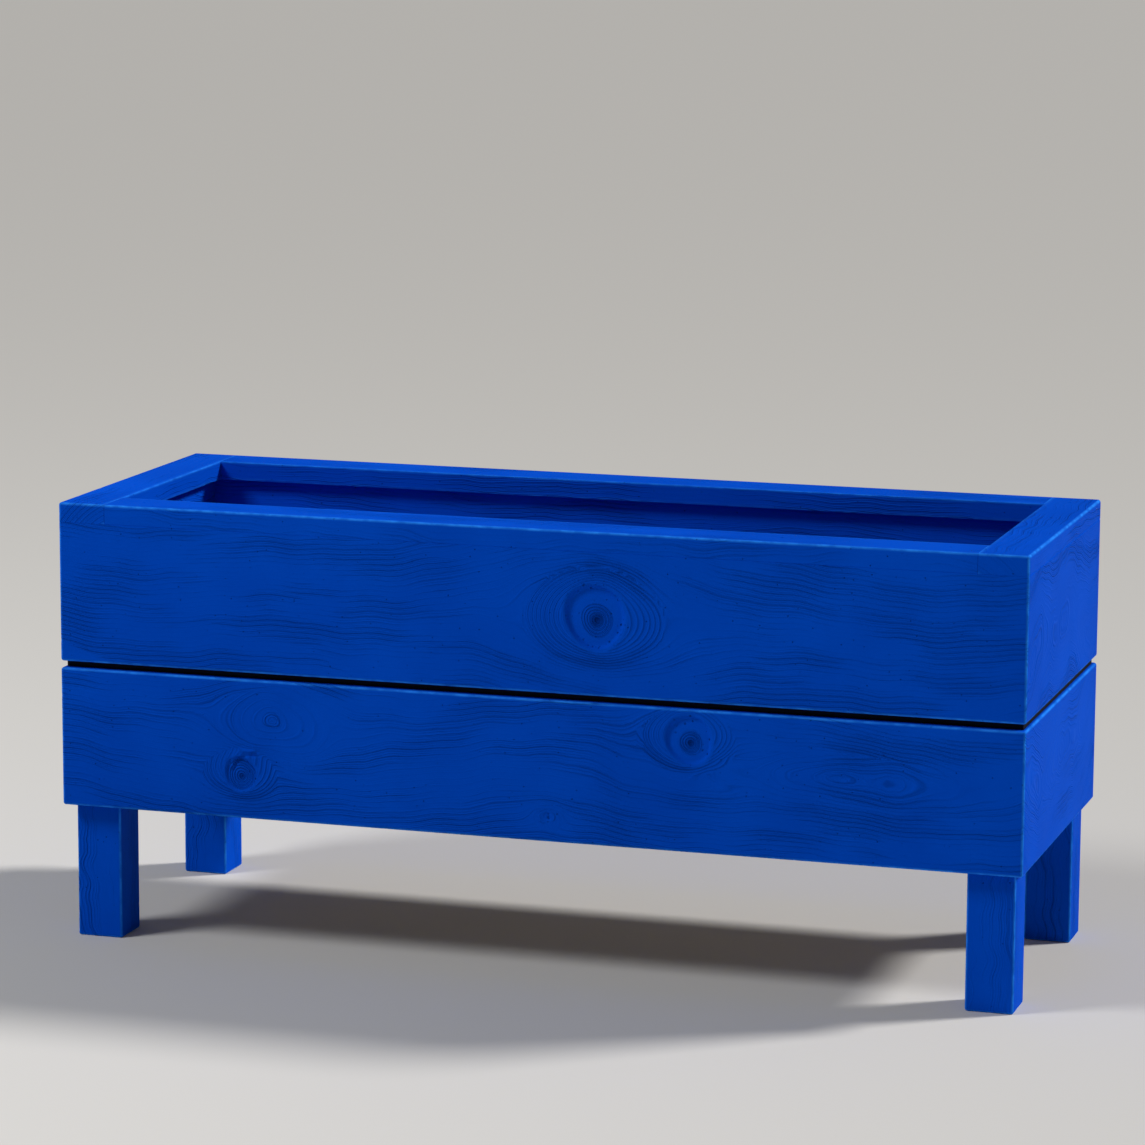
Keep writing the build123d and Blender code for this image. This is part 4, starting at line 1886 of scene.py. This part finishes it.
@dataclass
class Planter:
    """The whole planter: its boards, posts, base, fixings and finishes."""

    box: Box = field(default_factory=Box)
    base: Base = field(default_factory=Base)

    def __post_init__(self) -> None:
        """Builds the finishes and the cap's sizes."""
        self.cap = CapFrame(self.box)
        self.paint = PaintedTimber().build()
        self.bare = BareTimber().build()

    def plank_figures(self) -> dict[tuple[Side, Course], Figure]:
        """The growth rings and knots of each plank.

        Returns:
            One figure for each side and course.
        """
        return {
            (Side.FRONT, Course.UPPER): Figure(2, heart_height=-190 * MM, knots=(
                Knot(83 * MM, 9 * MM, 38 * MM, depth=5.4 * MM),)),
            (Side.FRONT, Course.LOWER): Figure(3, heart_height=-150 * MM, knots=(
                Knot(199 * MM, 49 * MM, 29 * MM, depth=4.0 * MM, collar=1.45),
                Knot(-364 * MM, -31 * MM, 21 * MM, depth=2.4 * MM, eye=0.9),
                Knot(-322 * MM, 38 * MM, 18 * MM, collar=2.3, crowding=0.6, uneven=0.11,
                     has_disc=False),
                Knot(376 * MM, 16 * MM, 12 * MM, collar=2.6, elongation=3.0, crowding=0.9,
                     uneven=0.06, has_disc=False),
                Knot(26 * MM, -55 * MM, 5 * MM, depth=0.8 * MM, collar=1.8)),
                scars=(Scar((-376 * MM, -22 * MM), (-347 * MM, -3 * MM)),)),
            (Side.BACK, Course.UPPER): Figure(4, heart_height=-150 * MM, knots=(
                Knot(-260 * MM, 18 * MM, 22 * MM, depth=1.8 * MM),)),
            (Side.BACK, Course.LOWER): Figure(5, heart_height=170 * MM, knots=(
                Knot(330 * MM, -8 * MM, 26 * MM, depth=2.2 * MM),
                Knot(-130 * MM, 40 * MM, 9 * MM, depth=1.0 * MM, collar=1.7))),
            (Side.LEFT, Course.UPPER): Figure(6, heart_height=100 * MM, drift=16 * MM),
            (Side.LEFT, Course.LOWER): Figure(7, heart_height=-90 * MM, knots=(
                Knot(60 * MM, 22 * MM, 12 * MM, depth=1.0 * MM, collar=1.6),)),
            (Side.RIGHT, Course.UPPER): Figure(8, heart_height=-20 * MM, drift=24 * MM,
                                               drift_length=0.55),
            (Side.RIGHT, Course.LOWER): Figure(9, heart_height=30 * MM, drift=20 * MM,
                                               drift_length=0.6),
        }

    def build_box(self) -> None:
        """Builds the planks, the cap and the posts."""
        for (side, course), figure in self.plank_figures().items():
            plank = self.box.make_plank(side, course, figure)
            hand_over(plank, self.paint, Slot.PAINTED_TIMBER,
                      f"{side.label}_plank_{course.value}")
        for number, side in enumerate(Side):
            figure = Figure(20 + number, heart_depth=92 * MM, heart_height=66 * MM, drift=5 * MM)
            strip = self.cap.make_strip(side, figure)
            hand_over(strip, self.paint, Slot.PAINTED_TIMBER, f"{side.label}_cap_strip")
        for number, (y, x) in enumerate(itertools.product(ENDS, repeat=2)):
            post = Post(x, y, self.box)
            figure = Figure(30 + number, heart_depth=92 * MM, heart_height=-74 * MM,
                            drift=4 * MM, drift_length=0.5)
            hand_over(post.make(figure), self.paint, Slot.PAINTED_TIMBER, post.node)

    def build_base(self) -> None:
        """Builds the bearers and the slats."""
        base = self.base
        for number, label in enumerate(("front", "back")):
            node = f"{label}_bearer"
            rail = base.make_board(f"{label}_rail", node, base.bearer_arris, 0,
                                   Figure(50 + number, heart_depth=30 * MM, drift=5 * MM))
            hand_over(rail, self.bare, Slot.BARE_TIMBER, node)
        for number, label in ((1, "left"), (base.slat_count, "right")):
            node = f"base_slat_{number:02d}"
            slat = base.make_board(f"{label}_end_slat", node, base.slat_arris, 1,
                                   Figure(60 + number, heart_depth=-50 * MM, drift=8 * MM),
                                   base.end_notch())
            hand_over(slat, self.bare, Slot.BARE_TIMBER, node)
        row = SlatRow(self.bare, base.slat_arris, count=base.slat_count - 2)
        straight = [f"base_slat_{number:02d}" for number in range(2, base.slat_count)]
        hand_over(row.make(), self.bare, Slot.BARE_TIMBER, *straight)

    def drive_fixings(self) -> None:
        """Builds the screws and nails."""
        zinc = PlatedSteel("yellow_zinc", (0.78, 0.66, 0.36, 1.0), (0.55, 0.42, 0.20, 1.0),
                           0.38).build()
        galvanised = PlatedSteel("galvanised", (0.62, 0.63, 0.65, 1.0), (0.42, 0.43, 0.45, 1.0),
                                 0.48).build()
        places = Fixings(self.cap, self.base.slat_count)
        kinds = (
            (Fixing("frame_screws", zinc, Slot.SCREW_STEEL, ("leg_screws", "bearer_screws"),
                    length=55 * MM, radius=2.5 * MM, head_radius=4.6 * MM, head_height=2.1 * MM,
                    thread=0.7 * MM, recess=1.8 * MM), places.frame_screws()),
            (Fixing("deck_screws", zinc, Slot.SCREW_STEEL, ("slat_screws",), length=42 * MM,
                    radius=2.0 * MM, head_radius=3.8 * MM, head_height=1.8 * MM,
                    thread=0.55 * MM, recess=1.8 * MM, rows=52), places.slat_screws()),
            (Fixing("punched_nails", galvanised, Slot.NAIL_STEEL, ("cap_nails",), length=45 * MM,
                    radius=1.1 * MM, head_radius=1.7 * MM, head_height=1.5 * MM, thread=0.0,
                    flat_head=True, rows=46), places.cap_nails()),
        )
        for kind, spots in kinds:
            hand_over(kind.make(spots), kind.material, kind.slot, *kind.nodes)

    def dress_carried_nodes(self) -> None:
        """Gives the CAD nodes that stay their finishes."""
        # The spacer strips get near-black painted shade, standing for the dark gap between the
        # courses.
        gap_shades = {True: SpacerGapShade(True).build(), False: SpacerGapShade(False).build()}
        finishes = {f"{side.label}_spacer_strip": gap_shades[side.runs_along_x] for side in Side}
        beech = BeechPeg().build()
        finishes |= {"course_dowels": beech, "corner_tenons": beech}
        for node, material in finishes.items():
            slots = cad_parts[node].data.materials
            slots.clear()
            slots.append(material)
            log.info("%s keeps its shape, with %s", node, material.name)


def main() -> None:
    """Builds the studio and the planter."""
    logging.basicConfig(level=logging.INFO, format="%(name)s: %(message)s", stream=sys.stdout)
    studio = Studio()
    studio.set_camera()
    studio.set_light()
    studio.lay_floor()
    planter = Planter()
    planter.build_box()
    planter.build_base()
    planter.drive_fixings()
    planter.dress_carried_nodes()


if __name__ == "__main__":
    main()
